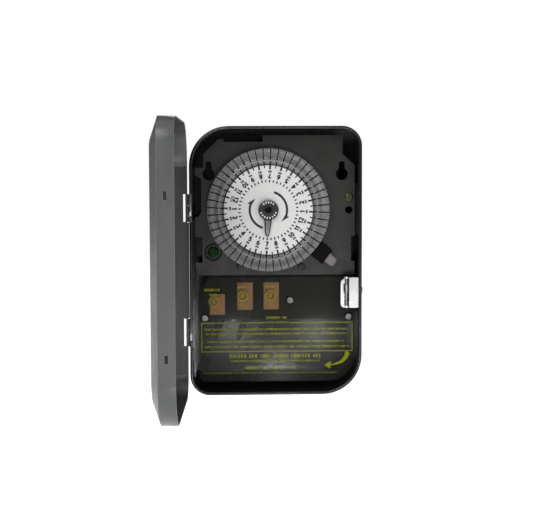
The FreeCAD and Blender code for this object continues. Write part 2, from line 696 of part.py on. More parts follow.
def build_housing():
    body = new_body("gear_housing")
    left, right = size("house_left"), size("house_right")
    bottom, top = size("house_bottom"), size("house_top")
    back, front = size("house_back_out"), size("plate_out") - size("plate_thick")
    wall = size("house_wall")
    corners = [(left, bottom), (right, bottom), (right, top - 12), (right - 12, top),
               (left + 14, top), (left, top - 14)]
    inner = [(left + wall, bottom + wall), (right - wall, bottom + wall),
             (right - wall, top - 12 - wall * 0.4), (right - 12 - wall * 0.4, top - wall),
             (left + 14 + wall * 0.4, top - wall), (left + wall, top - 14 - wall * 0.4)]
    pad_out(body, lambda sketch: add_polygon(sketch, corners), back, front)
    cut_out(body, lambda sketch: add_polygon(sketch, inner), back + wall, front)
    gear = gear_places()

    def posts(sketch):
        for x, z in HOUSE_SCREWS:
            add_circle(sketch, x, z, 3.4)

    pad_out(body, posts, back + wall, front)

    def dial_boss(sketch):
        add_circle(sketch, size("dial_x"), size("dial_z"), 5.0)
        add_circle(sketch, *gear["idler"], 3.4)

    pad_out(body, dial_boss, back + wall, back + wall + 3.0)

    def bores(sketch):
        add_circle(sketch, size("dial_x"), size("dial_z"), size("arbor_r"))
        add_circle(sketch, *gear["idler"], 1.5)
        add_circle(sketch, *gear["motor"], 5.2)
        add_circle(sketch, *pivot_place(), size("lever_shaft_r") + 0.05)
        for x, z in MOTOR_SCREWS:
            add_circle(sketch, x, z, 1.4)

    cut_out(body, bores, back - 1, back + wall + 4)
    cut_out(body, lambda sketch: [add_circle(sketch, x, z, 1.4) for x, z in HOUSE_SCREWS],
            back + 8, front)

    def busbar_ways(sketch):
        add_rectangle(sketch, -24.6, bottom - 1, -19.0, bottom + wall + 1)
        add_rectangle(sketch, -5.6, bottom - 1, 0.6, bottom + wall + 1)

    cut_out(body, busbar_ways, size("block_out") - 0.4, size("bar_out") + 0.4)


def gear_places():
    """Axes of the idler and the motor pinion, stepped off from the dial's axis."""
    module = SIZES["gear_module"]
    reach = module * (SIZES["dial_teeth"] + SIZES["idler_pinion_teeth"]) / 2
    angle = math.radians(SIZES["idler_angle"])
    idler = (SIZES["dial_x"] + reach * math.cos(angle), SIZES["dial_z"] + reach * math.sin(angle))
    reach = module * (SIZES["idler_teeth"] + SIZES["motor_teeth"]) / 2
    angle = math.radians(SIZES["motor_angle"])
    motor = (idler[0] + reach * math.cos(angle), idler[1] + reach * math.sin(angle))
    return {"idler": idler, "motor": motor}


motor_place = gear_places()["motor"]
MOTOR_SCREWS = ((motor_place[0] - 27.5, motor_place[1]), (motor_place[0] + 27.5, motor_place[1]))


# ---- clock motor and gear train ----

def build_motor():
    x, z = motor_place
    body = new_body("clock_motor")
    back = size("motor_out")
    can = back + size("motor_depth")
    seat = size("house_back_out")
    pad_out(body, lambda sketch: add_circle(sketch, x, z, size("motor_r")), back, can)
    dress(body, "PartDesign::Fillet", body.Tip,
          lambda edge: at_level(edge, SIZES["motor_out"]), 1.5)

    def flange(sketch):
        add_rectangle(sketch, x - 31.5, z - 5.0, x + 31.5, z + 5.0)

    ears = pad_out(body, flange, can, seat)
    dress(body, "PartDesign::Fillet", ears,
          lambda edge: runs_out(edge) and edge.BoundBox.YMin < -can.value + 0.01, 4.5)
    pad_out(body, lambda sketch: add_circle(sketch, x, z, 4.8), seat, seat + 1.8)
    cut_out(body, lambda sketch: [add_circle(sketch, sx, sz, 1.8) for sx, sz in MOTOR_SCREWS],
            can - 1, seat)
    cut_out(body, lambda sketch: add_circle(sketch, x, z, 1.55), seat - 4, seat + 2)

    screws_body = new_body("motor_mount_screws")
    for low, high, radius in ((can - 1.6, can, 2.8), (can, seat + 4, 1.4)):
        pad_out(screws_body, lambda sketch: [add_circle(sketch, sx, sz, radius)
                                             for sx, sz in MOTOR_SCREWS], low, high)


def gear_teeth(body, teeth, module, low, high):
    """Teeth on a root disc: one trapezium, then a polar pattern about the body's Y axis."""
    pitch_r = teeth * module / 2

    def tooth(sketch):
        root, tip = pitch_r - 1.3 * module, pitch_r + 0.9 * module
        add_polygon(sketch, [(root, -0.82 * module), (tip, -0.26 * module),
                             (tip, 0.26 * module), (root, 0.82 * module)])

    first = pad_out(body, tooth, low, high)
    pattern = body.newObject("PartDesign::PolarPattern", "teeth")
    pattern.Originals = [first]
    pattern.Axis = (origin_item(body, "Y_Axis"), [""])
    pattern.Angle = 360
    pattern.Occurrences = teeth
    body.Tip = pattern
    doc.recompute()
    return pattern


def gear_disc(body, teeth_alias, low, high):
    teeth, module = SIZES[teeth_alias], SIZES["gear_module"]
    root = size("gear_module") * size(teeth_alias) / 2 - size("gear_module") * 1.2
    pad_out(body, lambda sketch: add_circle(sketch, 0, 0, root), low, high)
    pattern = gear_teeth(body, teeth, module, low, high)
    pattern.setExpression("Occurrences", "Sizes." + teeth_alias)


def place_gear(body, x, z, degrees):
    body.Placement = Placement(Vector(x, 0, z), Rotation(Vector(0, -1, 0), degrees))


def build_gears():
    places = gear_places()
    face = size("gear_face")
    dial_low, idler_low = size("dial_gear_out"), size("idler_gear_out")

    dial = new_body("dial_gear")
    gear_disc(dial, "dial_teeth", dial_low, dial_low + face)
    cut_out(dial, lambda sketch: add_circle(sketch, 0, 0, size("hub_r")), dial_low - 1,
            dial_low + face + 1)

    def windows(sketch):
        for turn in range(6):
            angle = math.radians(60 * turn)
            add_circle(sketch, 17 * math.cos(angle), 17 * math.sin(angle), 5.0)

    cut_out(dial, windows, dial_low - 1, dial_low + face + 1)
    place_gear(dial, SIZES["dial_x"], SIZES["dial_z"], SIZES["idler_angle"])

    # the idler's wheel and pinion are one moulding, set so that each is in mesh
    idler = new_body("idler_wheel")
    gear_disc(idler, "idler_teeth", idler_low, idler_low + face)
    cut_out(idler, lambda sketch: add_circle(sketch, 0, 0, 2.6), idler_low - 1,
            idler_low + face + 1)
    place_gear(idler, *places["idler"], SIZES["motor_angle"])

    pinion = new_body("idler_pinion")
    gear_disc(pinion, "idler_pinion_teeth", idler_low + face, dial_low + face + 0.6)
    pad_out(pinion, lambda sketch: add_circle(sketch, 0, 0, 2.6), idler_low, idler_low + face)
    cut_out(pinion, lambda sketch: add_circle(sketch, 0, 0, 1.55), idler_low - 1,
            dial_low + face + 2)
    place_gear(pinion, *places["idler"],
               SIZES["idler_angle"] + 180 + 180 / SIZES["idler_pinion_teeth"])

    axle = new_body("idler_axle")
    pad_out(axle, lambda sketch: add_circle(sketch, *places["idler"], 1.5),
            size("house_back_out"), size("plate_out") - size("plate_thick"))

    motor = new_body("motor_pinion")
    gear_disc(motor, "motor_teeth", idler_low, idler_low + face)
    pad_out(motor, lambda sketch: add_circle(sketch, 0, 0, 1.5), size("house_back_out") - 3.5,
            idler_low)
    place_gear(motor, *places["motor"],
               SIZES["motor_angle"] + 180 + 180 / SIZES["motor_teeth"])


# ---- the dial, its trippers and the pointer ----

def build_dial():
    web_low, web = size("carrier_out"), size("carrier_web")
    disc_low = size("disc_out") - size("disc_thick")
    gear_low = size("dial_gear_out")

    carrier = new_body("tripper_carrier")
    pad_out(carrier, lambda sketch: add_circle(sketch, 0, 0, size("carrier_r")),
            web_low, web_low + web)
    pad_out(carrier, lambda sketch: add_circle(sketch, 0, 0, size("hub_r")), gear_low,
            disc_low)

    def disc_seat(sketch):
        add_circle(sketch, 0, 0, size("disc_r") - 0.2)
        add_circle(sketch, 0, 0, size("disc_r") - 1.6)

    pad_out(carrier, disc_seat, web_low + web, disc_low)
    ledge_r, half = size("wire_r"), 0.3

    def ledge(sketch):
        add_circle(sketch, 0, 0, ledge_r + half)
        add_circle(sketch, 0, 0, ledge_r - half)

    pad_out(carrier, ledge, web_low + web, size("wire_out") - size("wire_half"))
    cut_out(carrier, lambda sketch: add_circle(sketch, 0, 0, size("arbor_bore")), gear_low - 1,
            disc_low + 1)
    on_dial(carrier)

    disc = new_body("dial_disc")
    pad_out(disc, lambda sketch: add_circle(sketch, 0, 0, size("disc_r")), disc_low,
            size("disc_out"))
    cut_out(disc, lambda sketch: add_circle(sketch, 0, 0, size("arbor_r") + 1), disc_low - 1,
            size("disc_out") + 1)
    on_dial(disc)

    washer = new_body("dial_clutch_washer")

    def ring(sketch):
        add_circle(sketch, 0, 0, 11.0)
        add_circle(sketch, 0, 0, size("hub_r") + 0.1)

    low = gear_low + size("gear_face")
    pad_out(washer, ring, low, low + 0.5)
    on_dial(washer)

    arbor = new_body("dial_arbor")
    pad_out(arbor, lambda sketch: add_circle(sketch, 0, 0, size("arbor_r")),
            size("house_back_out"), size("pointer_out"))
    on_dial(arbor)

    wire = doc.addObject("Part::Torus", "tripper_wire")
    wire.Label = "tripper_wire"
    wire.setExpression("Radius1", "Sizes.wire_r")
    wire.setExpression("Radius2", "Sizes.wire_half")
    lay = Rotation(Vector(1, 0, 0), 90)
    wire.Placement = Placement(Vector(SIZES["dial_x"], -SIZES["wire_out"], SIZES["dial_z"]), lay)
    nodes.append(wire)


def tripper(label, degrees):
    """One rocking segment: a wedge with a leg at its rim, threaded on the wire ring."""
    body = new_body(label)
    step = math.radians(360 / SIZES["tripper_count"])
    inner, outer, gap = SIZES["tripper_inner_r"], SIZES["tripper_r"], SIZES["tripper_gap"]
    under = size("tripper_out") - size("tripper_thick")

    def half(radius):
        return radius * math.tan(step / 2) - gap / 2

    def wedge(sketch):
        add_polygon(sketch, [(inner, -half(inner)), (outer, -half(outer)),
                             (outer, half(outer)), (inner, half(inner))])

    def leg(sketch):
        low, high = SIZES["tripper_leg_from"], SIZES["tripper_leg_to"]
        add_polygon(sketch, [(low, -half(low)), (high, -half(high)),
                             (high, half(high)), (low, half(low))])

    top = pad_out(body, wedge, under, size("tripper_out"))
    dress(body, "PartDesign::Fillet", top,
          lambda edge: at_level(edge, SIZES["tripper_out"])
          and abs(edge.BoundBox.XMin - outer) < 0.01, 1.6)
    pad_out(body, leg, size("tripper_leg_out"), under)
    groove = new_sketch(body, "XY_Plane", 0)
    add_circle(groove, size("wire_r"), -size("wire_out"), size("wire_bore"))
    before = body.Shape.Volume
    cut = body.newObject("PartDesign::Groove", "wire_bore")
    cut.Profile = groove
    cut.ReferenceAxis = (origin_item(body, "Y_Axis"), [""])
    cut.Angle = 360
    doc.recompute()
    if body.Shape.Volume > before - 1e-4:
        raise RuntimeError("the wire's bore cuts nothing")
    on_dial(body, degrees)
    return body


MOVING_TRIPPERS = 6


def build_trippers():
    """Every eighth tripper is a node of its own; the others share one node."""
    count = SIZES["tripper_count"]
    step = 360 / count
    every = count // MOVING_TRIPPERS
    first = SIZES["dial_turned"] + step / 2
    bodies = [tripper("tripper_%d" % (number + 1), first + step * every * number)
              for number in range(MOVING_TRIPPERS)]
    master = bodies[0].Shape
    centre, axis = Vector(SIZES["dial_x"], 0, SIZES["dial_z"]), Vector(0, -1, 0)
    copies = []
    for number in range(count):
        if number % every:
            copy = master.copy()
            copy.rotate(centre, axis, step * number)
            copies.append(copy)
    group = doc.addObject("Part::Feature", "trippers")
    group.Label = "trippers"
    group.Shape = Part.makeCompound(copies)
    nodes.append(group)


def build_pointer():
    low = size("pointer_out")
    high = low + size("pointer_thick")
    body = new_body("pointer")
    pad_out(body, lambda sketch: add_circle(sketch, 0, 0, size("pointer_r")), low, high)
    reach = size("pointer_reach")
    pad_out(body, lambda sketch: add_polygon(sketch, [
        (-3.3, -6.0), (-2.1, -(reach - 3.6)), (-1.4, -(reach - 1.5)), (-0.4, -reach), (0.4, -reach),
        (1.4, -(reach - 1.5)), (2.1, -(reach - 3.6)), (3.3, -6.0)]), low, high - 0.6)
    cut_out(body, lambda sketch: add_circle(sketch, 0, 0, 1.5), low - 1, high + 1)
    on_dial(body, SIZES["pointer_lean"])
    screws("pointer_screw", [(size("dial_x"), size("dial_z"))], 2.9, high, 1.0, 1.4,
           size("pointer_thick"), drive=1.9)


# ---- manual override lever, switch and terminals ----

def lever_points(from_r, to_r, from_half, to_half):
    """A bar along the lever's own axis, drawn from the pivot: (reach, half width) ends."""
    return [(from_r, -from_half), (to_r, -to_half), (to_r, to_half), (from_r, from_half)]


def place_lever(body):
    x, z = pivot_place()
    body.Placement = Placement(Vector(x, 0, z),
                               Rotation(Vector(0, -1, 0), SIZES["lever_angle"]))


def build_override():
    base = size("lever_pivot_r")
    low, thick = size("lever_out"), size("lever_thick")
    start, end = size("lever_block_from") - base, size("lever_block_to") - base
    half = size("lever_width") / 2
    shaft_low = size("house_back_out")

    lever = new_body("override_lever")
    pad_out(lever, lambda sketch: add_polygon(sketch, lever_points(0.5, start + 2, 4.0, half)),
            low, low + thick)
    pad_out(lever, lambda sketch: add_circle(sketch, 0, 0, 4.6), low, low + thick)
    block = pad_out(lever, lambda sketch: add_polygon(sketch, lever_points(start, end, half, half)),
                    low, size("lever_block_out"))
    dress(lever, "PartDesign::Fillet", block,
          lambda edge: at_level(edge, SIZES["lever_block_out"]), 0.8)
    pad_out(lever, lambda sketch: add_circle(sketch, 0, 0, size("lever_shaft_r")),
            shaft_low, low)
    place_lever(lever)

    tip = new_body("override_tip")
    tip_half, tip_end = size("lever_tip_width") / 2, size("lever_tip_to") - base
    lug = pad_out(tip, lambda sketch: add_polygon(
        sketch, lever_points(end, tip_end, tip_half, tip_half)), low, low + 4.6)
    dress(tip, "PartDesign::Fillet", lug,
          lambda edge: runs_out(edge, x=tip_end.value), 2.6)
    place_lever(tip)

    cam = new_body("switch_cam")
    cam_low, cam_high = size("bar_out") - 3.5, size("bar_out") + 1.5
    pad_out(cam, lambda sketch: add_circle(sketch, 0, 0, 5.0), cam_low, cam_high)
    nose = pad_out(cam, lambda sketch: add_polygon(sketch, [
        (-3.0, 0.0), (-2.2, -12.0), (2.2, -12.0), (3.0, 0.0)]), cam_low, cam_high)
    dress(cam, "PartDesign::Fillet", nose, lambda edge: runs_out(edge, z=-12.0), 2.0)
    cut_out(cam, lambda sketch: add_circle(sketch, 0, 0, size("lever_shaft_r")),
            cam_low - 1, cam_high + 1)
    x, z = pivot_place()
    cam.Placement = Placement(Vector(x, 0, z), Rotation())

    # a leaf spring pressed into the housing's wall, riding just clear of the cam's hub
    detent = new_body("detent_spring")
    wall_x = size("house_right") - size("house_wall")
    pad_out(detent, lambda sketch: add_polygon(sketch, [
        (wall_x, 30.0), (wall_x, 30.6), (26.5, 24.5), (22.0, 24.2), (22.0, 23.6),
        (26.5, 23.9)]), cam_low, cam_high)


def build_switch():
    low, high = size("block_out"), size("bar_out")
    left, right, z = size("blade_left"), size("blade_right"), size("blade_z")
    blade_low, blade_high = size("bar_out") - 3.5, size("bar_out") + 1.5
    button_x = right - 2.4

    blade = new_body("contact_blade")
    pad_out(blade, lambda sketch: add_rectangle(sketch, left, z, right, z + size("blade_sheet")),
            blade_low, blade_high)

    button = new_body("moving_contact")
    sketch = new_sketch(button, "XY_Plane", z - 1.3)
    add_circle(sketch, button_x, -(size("bar_out") - 1.0), 1.9)
    pad(button, sketch, 1.3)

    fixed = new_body("fixed_contact")
    sketch = new_sketch(fixed, "XY_Plane", z - 3.6)
    add_circle(sketch, button_x, -(size("bar_out") - 1.0), 1.9)
    pad(fixed, sketch, 1.4)

    outlines = {
        "neutral": [(-53.3, -46.0), (-41.0, -46.0), (-41.0, -29.0), (-53.3, -29.0)],
        "line": [(-30.7, -42.0), (-18.0, -42.0), (-18.0, -19.2), (-19.6, -17.0), (-19.6, z - 0.6),
                 (-1.4, z - 0.6), (-1.4, z + 4.0), (-24.0, z + 4.0), (-24.0, -17.0),
                 (-30.7, -19.2)],
        "load": [(-9.0, -41.7), (3.6, -41.7), (3.6, -19.0), (0.0, -17.0), (0.0, z - 6.2),
                 (31.0, z - 6.2), (31.0, z - 3.6), (-5.0, z - 3.6), (-5.0, -17.0),
                 (-9.0, -19.0)],
    }
    for name, x, screw_z in TERMINALS:
        plate = new_body(name + "_terminal")
        pad_out(plate, lambda sketch: add_polygon(sketch, outlines[name]), low, high)
        cut_out(plate, lambda sketch: add_circle(sketch, x, screw_z, 2.05), low - 1, high + 1)
    screws("terminal_screws", [(x, z) for name, x, z in TERMINALS], size("terminal_head_r"),
           high, 2.2, 1.95, 6.0, drive=2.6)


def build_terminal_block():
    """A moulded tray behind the wiring: a base, ribs between terminals and screw posts."""
    body = new_body("terminal_block")
    left, right = size("block_left"), size("block_right")
    bottom, top = size("block_bottom"), size("block_top")
    back, face = size("block_back_out"), size("block_out")
    pad_out(body, lambda sketch: add_rectangle(sketch, left, bottom, right, top), back, face)
    pad_out(body, lambda sketch: add_rectangle(sketch, size("house_left"), top,
                                               size("house_right"), size("house_bottom")),
            back, face)
    rib, rib_out = size("rib_width"), size("rib_out")
    for x in BLOCK_RIBS:
        pad_out(body, lambda sketch: add_rectangle(sketch, x, bottom, rib + x, top),
                face, rib_out)
    neck_low, neck_high = top - size("neck_cover"), top + 2
    pad_out(body, lambda sketch: add_rectangle(sketch, BLOCK_RIBS[0], neck_low,
                                               rib + BLOCK_RIBS[-1], neck_high),
            size("bar_out"), size("bar_out") + 2.5)
    for side, far in ((left, left + rib), (right - rib, right)):
        pad_out(body, lambda sketch: add_rectangle(sketch, side, bottom, far, top), face, rib_out)
    pad_out(body, lambda sketch: [add_circle(sketch, x, z, 3.6) for x, z in SHIELD_SCREWS],
            face, size("shield_back_out"))
    cut_out(body, lambda sketch: [add_circle(sketch, x, z, 1.5) for x, z in SHIELD_SCREWS],
            face, size("shield_back_out"))
    cut_out(body, lambda sketch: [add_circle(sketch, x, z, 2.0) for name, x, z in TERMINALS],
            back + 2, face)


def build_insulator():
    body = new_body("insulator")
    back, thick = size("shield_back_out"), size("shield_thick")
    left, right = size("shield_left"), size("shield_right")
    bottom, top = size("shield_bottom"), size("shield_top")
    shield = pad_out(body, lambda sketch: add_polygon(sketch, [
        (left + 0.9, bottom), (right, bottom), (right, top), (left + 9.4, top),
        (left, top - 13.2)]), back, back + thick)
    lower_left = dress(body, "PartDesign::Fillet", shield,
                       lambda edge: runs_out(edge, x=left.value + 0.9, z=bottom.value), 5.5)
    dress(body, "PartDesign::Fillet", lower_left,
          lambda edge: runs_out(edge, x=right.value, z=bottom.value), 20.0)
    cut_out(body, lambda sketch: [add_circle(sketch, x, z, 1.6) for x, z in SHIELD_SCREWS],
            back - 1, back + thick + 1)
    screws("insulator_screws", SHIELD_SCREWS, 2.9, back + thick, 1.5, 1.4, 7.0, drive=1.8)


def build_small_screws():
    front = size("plate_out")
    screws("housing_screws", HOUSE_SCREWS, 2.8, front - 1.0, 1.4, 1.35, 8.0, drive=1.8)
    screws("plate_screw", [(size("plate_screw_x"), size("plate_screw_z"))], 3.4, front, 1.8,
           2.0, 6.0, drive=2.2)
    screws("ground_screw", [(size("ground_x"), size("ground_z"))], 4.85, front, 2.4, 2.3, 9.0,
           drive=2.8)

    strap = new_body("ground_strap")
    thick, back = size("leaf_sheet"), front - size("plate_thick")
    floor = size("case_sheet")
    x, z = size("ground_x"), size("ground_z")
    left, right = x - 8.2, x + 4.0
    for start, end, low, high in ((left, right, back - thick, back),
                                  (left, left + thick, floor, back - thick),
                                  (left, right, floor, floor + thick)):
        pad_out(strap, lambda sketch: add_rectangle(sketch, start, z - 5.5, end, z + 5.5), low, high)
    cut_out(strap, lambda sketch: add_circle(sketch, x, z, 2.35), back - 2, back)


# ---- motor leads ----

def lead_path(points, closest=0.45):
    """Straight runs joined by tangent arcs, each as large as its two runs allow."""
    edges, start = [], points[0]
    for before, corner, after in zip(points, points[1:], points[2:]):
        first, second = before - corner, after - corner
        turn = math.pi - first.getAngle(second)
        radius = closest * min(first.Length, second.Length) / math.tan(turn / 2)
        trim = radius * math.tan(turn / 2)
        first.normalize()
        second.normalize()
        enter, leave = corner + first * trim, corner + second * trim
        toward = (first + second).normalize()
        centre = corner + toward * (radius / math.cos(turn / 2))
        middle = centre - toward * radius
        edges.append(Part.LineSegment(start, enter).toShape())
        edges.append(Part.Arc(enter, middle, leave).toShape())
        start = leave
    edges.append(Part.LineSegment(start, points[-1]).toShape())
    return Part.Wire(edges)


def build_lead(label, route):
    """A lead from the motor's can, down behind the terminal block and up to its terminal."""
    points = [Vector(x, -out, z) for x, out, z in route]
    path = lead_path(points)
    radius = SIZES["lead_r"]
    along = (points[1] - points[0]).normalize()
    ring = Part.Wire([Part.Circle(points[0], along, radius).toShape()])
    tube = path.makePipeShell([ring], True, False)
    expected = math.pi * radius * radius * path.Length
    if abs(tube.Volume / expected - 1) > 0.02:
        raise RuntimeError("%s: volume %.1f, expected %.1f" % (label, tube.Volume, expected))
    lead = doc.addObject("Part::Feature", label)
    lead.Label = label
    lead.Shape = tube
    nodes.append(lead)


LINE_LEAD = ((-12.0, 9.0, 39.2), (-12.0, 9.0, 16.0), (-14.0, 9.2, -10.0), (-20.0, 9.3, -36.0),
             (-27.5, 9.3, -61.6), (-30.5, 15.8, -68.1), (-29.7, 25.0, -68.1), (-26.8, 31.5, -61.6),
             (-23.0, 31.6, -51.0), (-21.6, 31.6, -42.4))
NEUTRAL_LEAD = ((-18.0, 9.0, 42.2), (-18.6, 9.0, 24.0), (-24.0, 9.2, -4.0), (-34.0, 9.3, -30.0),
                (-44.0, 9.3, -58.6), (-47.5, 15.9, -65.2), (-48.5, 25.0, -65.2),
                (-48.0, 31.6, -58.6), (-47.1, 31.6, -46.4))


build_case()
build_rails()
build_door()
build_hinge("upper", size("hinge_upper_z"))
build_hinge("lower", size("hinge_lower_z"))
build_strike()
build_latch()
build_plate()
build_housing()
build_small_screws()
build_motor()
build_gears()
build_dial()
build_trippers()
build_pointer()
build_override()
build_switch()
build_terminal_block()
build_insulator()
build_lead("motor_lead_line", LINE_LEAD)
build_lead("motor_lead_neutral", NEUTRAL_LEAD)

doc.recompute()
for item in doc.Objects:
    if "Invalid" in item.State or "Error" in item.State:
        raise RuntimeError("%s failed to recompute: %s" % (item.Label, item.State))
os.makedirs("parts", exist_ok=True)
for node in nodes:
    if node.Shape.isNull() or not node.Shape.isValid():
        raise RuntimeError("%s has no valid shape" % node.Label)
    node.Shape.exportStep(os.path.join("parts", node.Label + ".step"))
print("%d nodes" % len(nodes))
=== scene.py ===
import json
import math
import random
from collections import namedtuple

import bmesh
import bpy
from mathutils import Matrix, Vector


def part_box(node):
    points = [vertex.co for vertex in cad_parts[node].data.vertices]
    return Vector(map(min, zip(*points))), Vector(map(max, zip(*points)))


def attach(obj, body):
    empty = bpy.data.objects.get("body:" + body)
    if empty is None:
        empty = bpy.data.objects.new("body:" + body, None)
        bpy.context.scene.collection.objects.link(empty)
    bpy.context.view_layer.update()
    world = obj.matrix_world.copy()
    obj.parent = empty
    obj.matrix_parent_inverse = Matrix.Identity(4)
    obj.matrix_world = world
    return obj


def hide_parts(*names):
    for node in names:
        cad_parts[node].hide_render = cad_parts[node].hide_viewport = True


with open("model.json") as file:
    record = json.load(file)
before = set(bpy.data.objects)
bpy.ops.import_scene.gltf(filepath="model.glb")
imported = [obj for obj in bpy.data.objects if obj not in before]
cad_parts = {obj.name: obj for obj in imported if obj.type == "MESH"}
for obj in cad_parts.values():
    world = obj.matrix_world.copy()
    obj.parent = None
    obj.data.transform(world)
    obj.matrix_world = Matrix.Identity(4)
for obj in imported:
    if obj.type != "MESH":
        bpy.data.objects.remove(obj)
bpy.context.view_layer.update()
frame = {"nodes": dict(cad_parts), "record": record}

# A mechanical dial timer in a hinged steel case, seen with its door open.
# Sizes here are in mm. "out" is a distance from the wall, along -Y of the row frame.

MM = 0.001
Extent = namedtuple("Extent", "left right back front bottom top")


def extent(node):
    """A CAD node's box in mm: left and right in x, back and front in out, bottom and top in z."""
    low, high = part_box(node)
    return Extent(low.x / MM, high.x / MM, -high.y / MM, -low.y / MM, low.z / MM, high.z / MM)


def middle_of(box):
    """The x and z of a box's middle."""
    return (box.left + box.right) / 2, (box.bottom + box.top) / 2


def row(x, out, z):
    """A point of the row frame, in metres, from x, distance from the wall and height in mm."""
    return Vector((x, -out, z)) * MM


disc_box = extent("dial_disc")
DIAL_X, DIAL_Z = middle_of(disc_box)
DISC_R = (disc_box.right - disc_box.left) / 2
DISC_OUT = disc_box.front
trippers_box = extent("trippers")
TRIPPER_R = (trippers_box.right - trippers_box.left) / 2
wire_box = extent("tripper_wire")
WIRE_HALF = (wire_box.front - wire_box.back) / 2
WIRE_OUT = (wire_box.front + wire_box.back) / 2
WIRE_R = (wire_box.right - wire_box.left) / 2 - WIRE_HALF
WIRE_BORE = WIRE_HALF + 0.08
DIAL_TURNED = -92.5
HOURS = 24
TRIPPERS = 48
MOVING_TRIPPERS = 6
TRIPPER_THICK = 3.6
INK = 0.06
POINTER_LEAN = -3.0


# ---- camera, floor and light ----

def make_camera():
    """A little left of centre, above the dial, 0.97 m from the wall."""
    data = bpy.data.cameras.new("camera")
    data.sensor_width = 36.0
    focal_px, width_px = 1141.27, 533.0
    data.lens = focal_px * data.sensor_width / width_px
    data.clip_start = 0.05
    camera = bpy.data.objects.new("camera", data)
    yaw, pitch, roll = 0.03796, 0.06639, -0.00329
    ahead = Vector((math.sin(yaw) * math.cos(pitch), math.cos(yaw) * math.cos(pitch),
                    -math.sin(pitch)))
    right = Vector((math.cos(yaw), -math.sin(yaw), 0))
    up = right.cross(ahead)
    level = right * math.cos(roll) + up * math.sin(roll)
    upright = up * math.cos(roll) - right * math.sin(roll)
    camera.matrix_world = Matrix((level, upright, -ahead)).transposed().to_4x4()
    camera.location = row(-42.16, 969.92, 65.70)
    bpy.context.scene.collection.objects.link(camera)
    bpy.context.scene.camera = camera


def softbox(name, place, target, width, height, power):
    """A rectangular lamp, its place and target given as (x, out, z)."""
    data = bpy.data.lights.new(name, "AREA")
    data.shape = "RECTANGLE"
    data.size, data.size_y = width * MM, height * MM
    data.energy = power
    lamp = bpy.data.objects.new(name, data)
    lamp.location = row(*place)
    lamp.rotation_euler = (row(*target) - row(*place)).to_track_quat("-Z", "Y").to_euler()
    bpy.context.scene.collection.objects.link(lamp)


def make_floor():
    """A wide pale floor that glows, so that it looks even."""
    floor_z, reach = -0.42, 6.0
    data = bpy.data.meshes.new("floor")
    data.from_pydata([(-reach, -reach, floor_z), (reach, -reach, floor_z),
                      (reach, reach, floor_z), (-reach, reach, floor_z)], [], [(0, 1, 2, 3)])
    floor = bpy.data.objects.new("floor", data)
    bpy.context.scene.collection.objects.link(floor)
    paper = bpy.data.materials.new("pale_paper")
    paper.use_nodes = True
    shader = paper.node_tree.nodes["Principled BSDF"]
    shader.inputs["Base Color"].default_value = (0.93, 0.93, 0.93, 1)
    shader.inputs["Roughness"].default_value = 0.9
    shader.inputs["Emission Color"].default_value = (1, 1, 1, 1)
    shader.inputs["Emission Strength"].default_value = 0.75
    data.materials.append(paper)


def make_world():
    """A white backdrop for the camera and a dim ambient light for everything else."""
    world = bpy.data.worlds.new("studio")
    bpy.context.scene.world = world
    world.use_nodes = True
    nodes, links = world.node_tree.nodes, world.node_tree.links
    backdrop = nodes["Background"]
    backdrop.inputs["Color"].default_value = (1, 1, 1, 1)
    backdrop.inputs["Strength"].default_value = 1.0
    ambient = nodes.new("ShaderNodeBackground")
    ambient.inputs["Color"].default_value = (1, 1, 1, 1)
    ambient.inputs["Strength"].default_value = 0.11
    seen, mix = nodes.new("ShaderNodeLightPath"), nodes.new("ShaderNodeMixShader")
    links.new(seen.outputs["Is Camera Ray"], mix.inputs[0])
    links.new(ambient.outputs[0], mix.inputs[1])
    links.new(backdrop.outputs[0], mix.inputs[2])
    links.new(mix.outputs[0], nodes["World Output"].inputs["Surface"])
    bpy.context.scene.view_settings.view_transform = "Standard"


def make_lamps():
    """A wide overhead sky, and soft lamps in front, on the left and behind."""
    sky = bpy.data.lights.new("sky_light", "SUN")
    sky.energy, sky.angle = 0.9, math.radians(70)
    overhead = bpy.data.objects.new("sky_light", sky)
    overhead.rotation_euler = (math.radians(18), 0, 0)
    bpy.context.scene.collection.objects.link(overhead)
    middle = (0, 40, 0)
    softbox("key_light", (-650, 1200, 800), middle, 1000, 900, 13)
    softbox("fill_light", (1000, 1200, 500), middle, 700, 900, 2.4)
    softbox("door_light", (-1200, 500, 500), (-80, 100, 0), 700, 900, 1.7)
    softbox("back_light", (300, -1400, 700), middle, 900, 900, 8)
    # Three small lamps low in front make the soft spots below the dial.
    for number, (x, z) in enumerate(((-20, -215), (126, -216), (57, -277))):
        softbox("small_lamp_%d" % (number + 1), (x, 1150, z), (0, 0, -70), 40, 50, 0.4)


# ---- materials ----

def rgb(red, green, blue):
    """Linear colour from 0-255 display values."""
    return tuple((v / 255 / 12.92) if v < 10.3 else ((v / 255 + 0.055) / 1.055) ** 2.4
                 for v in (red, green, blue))


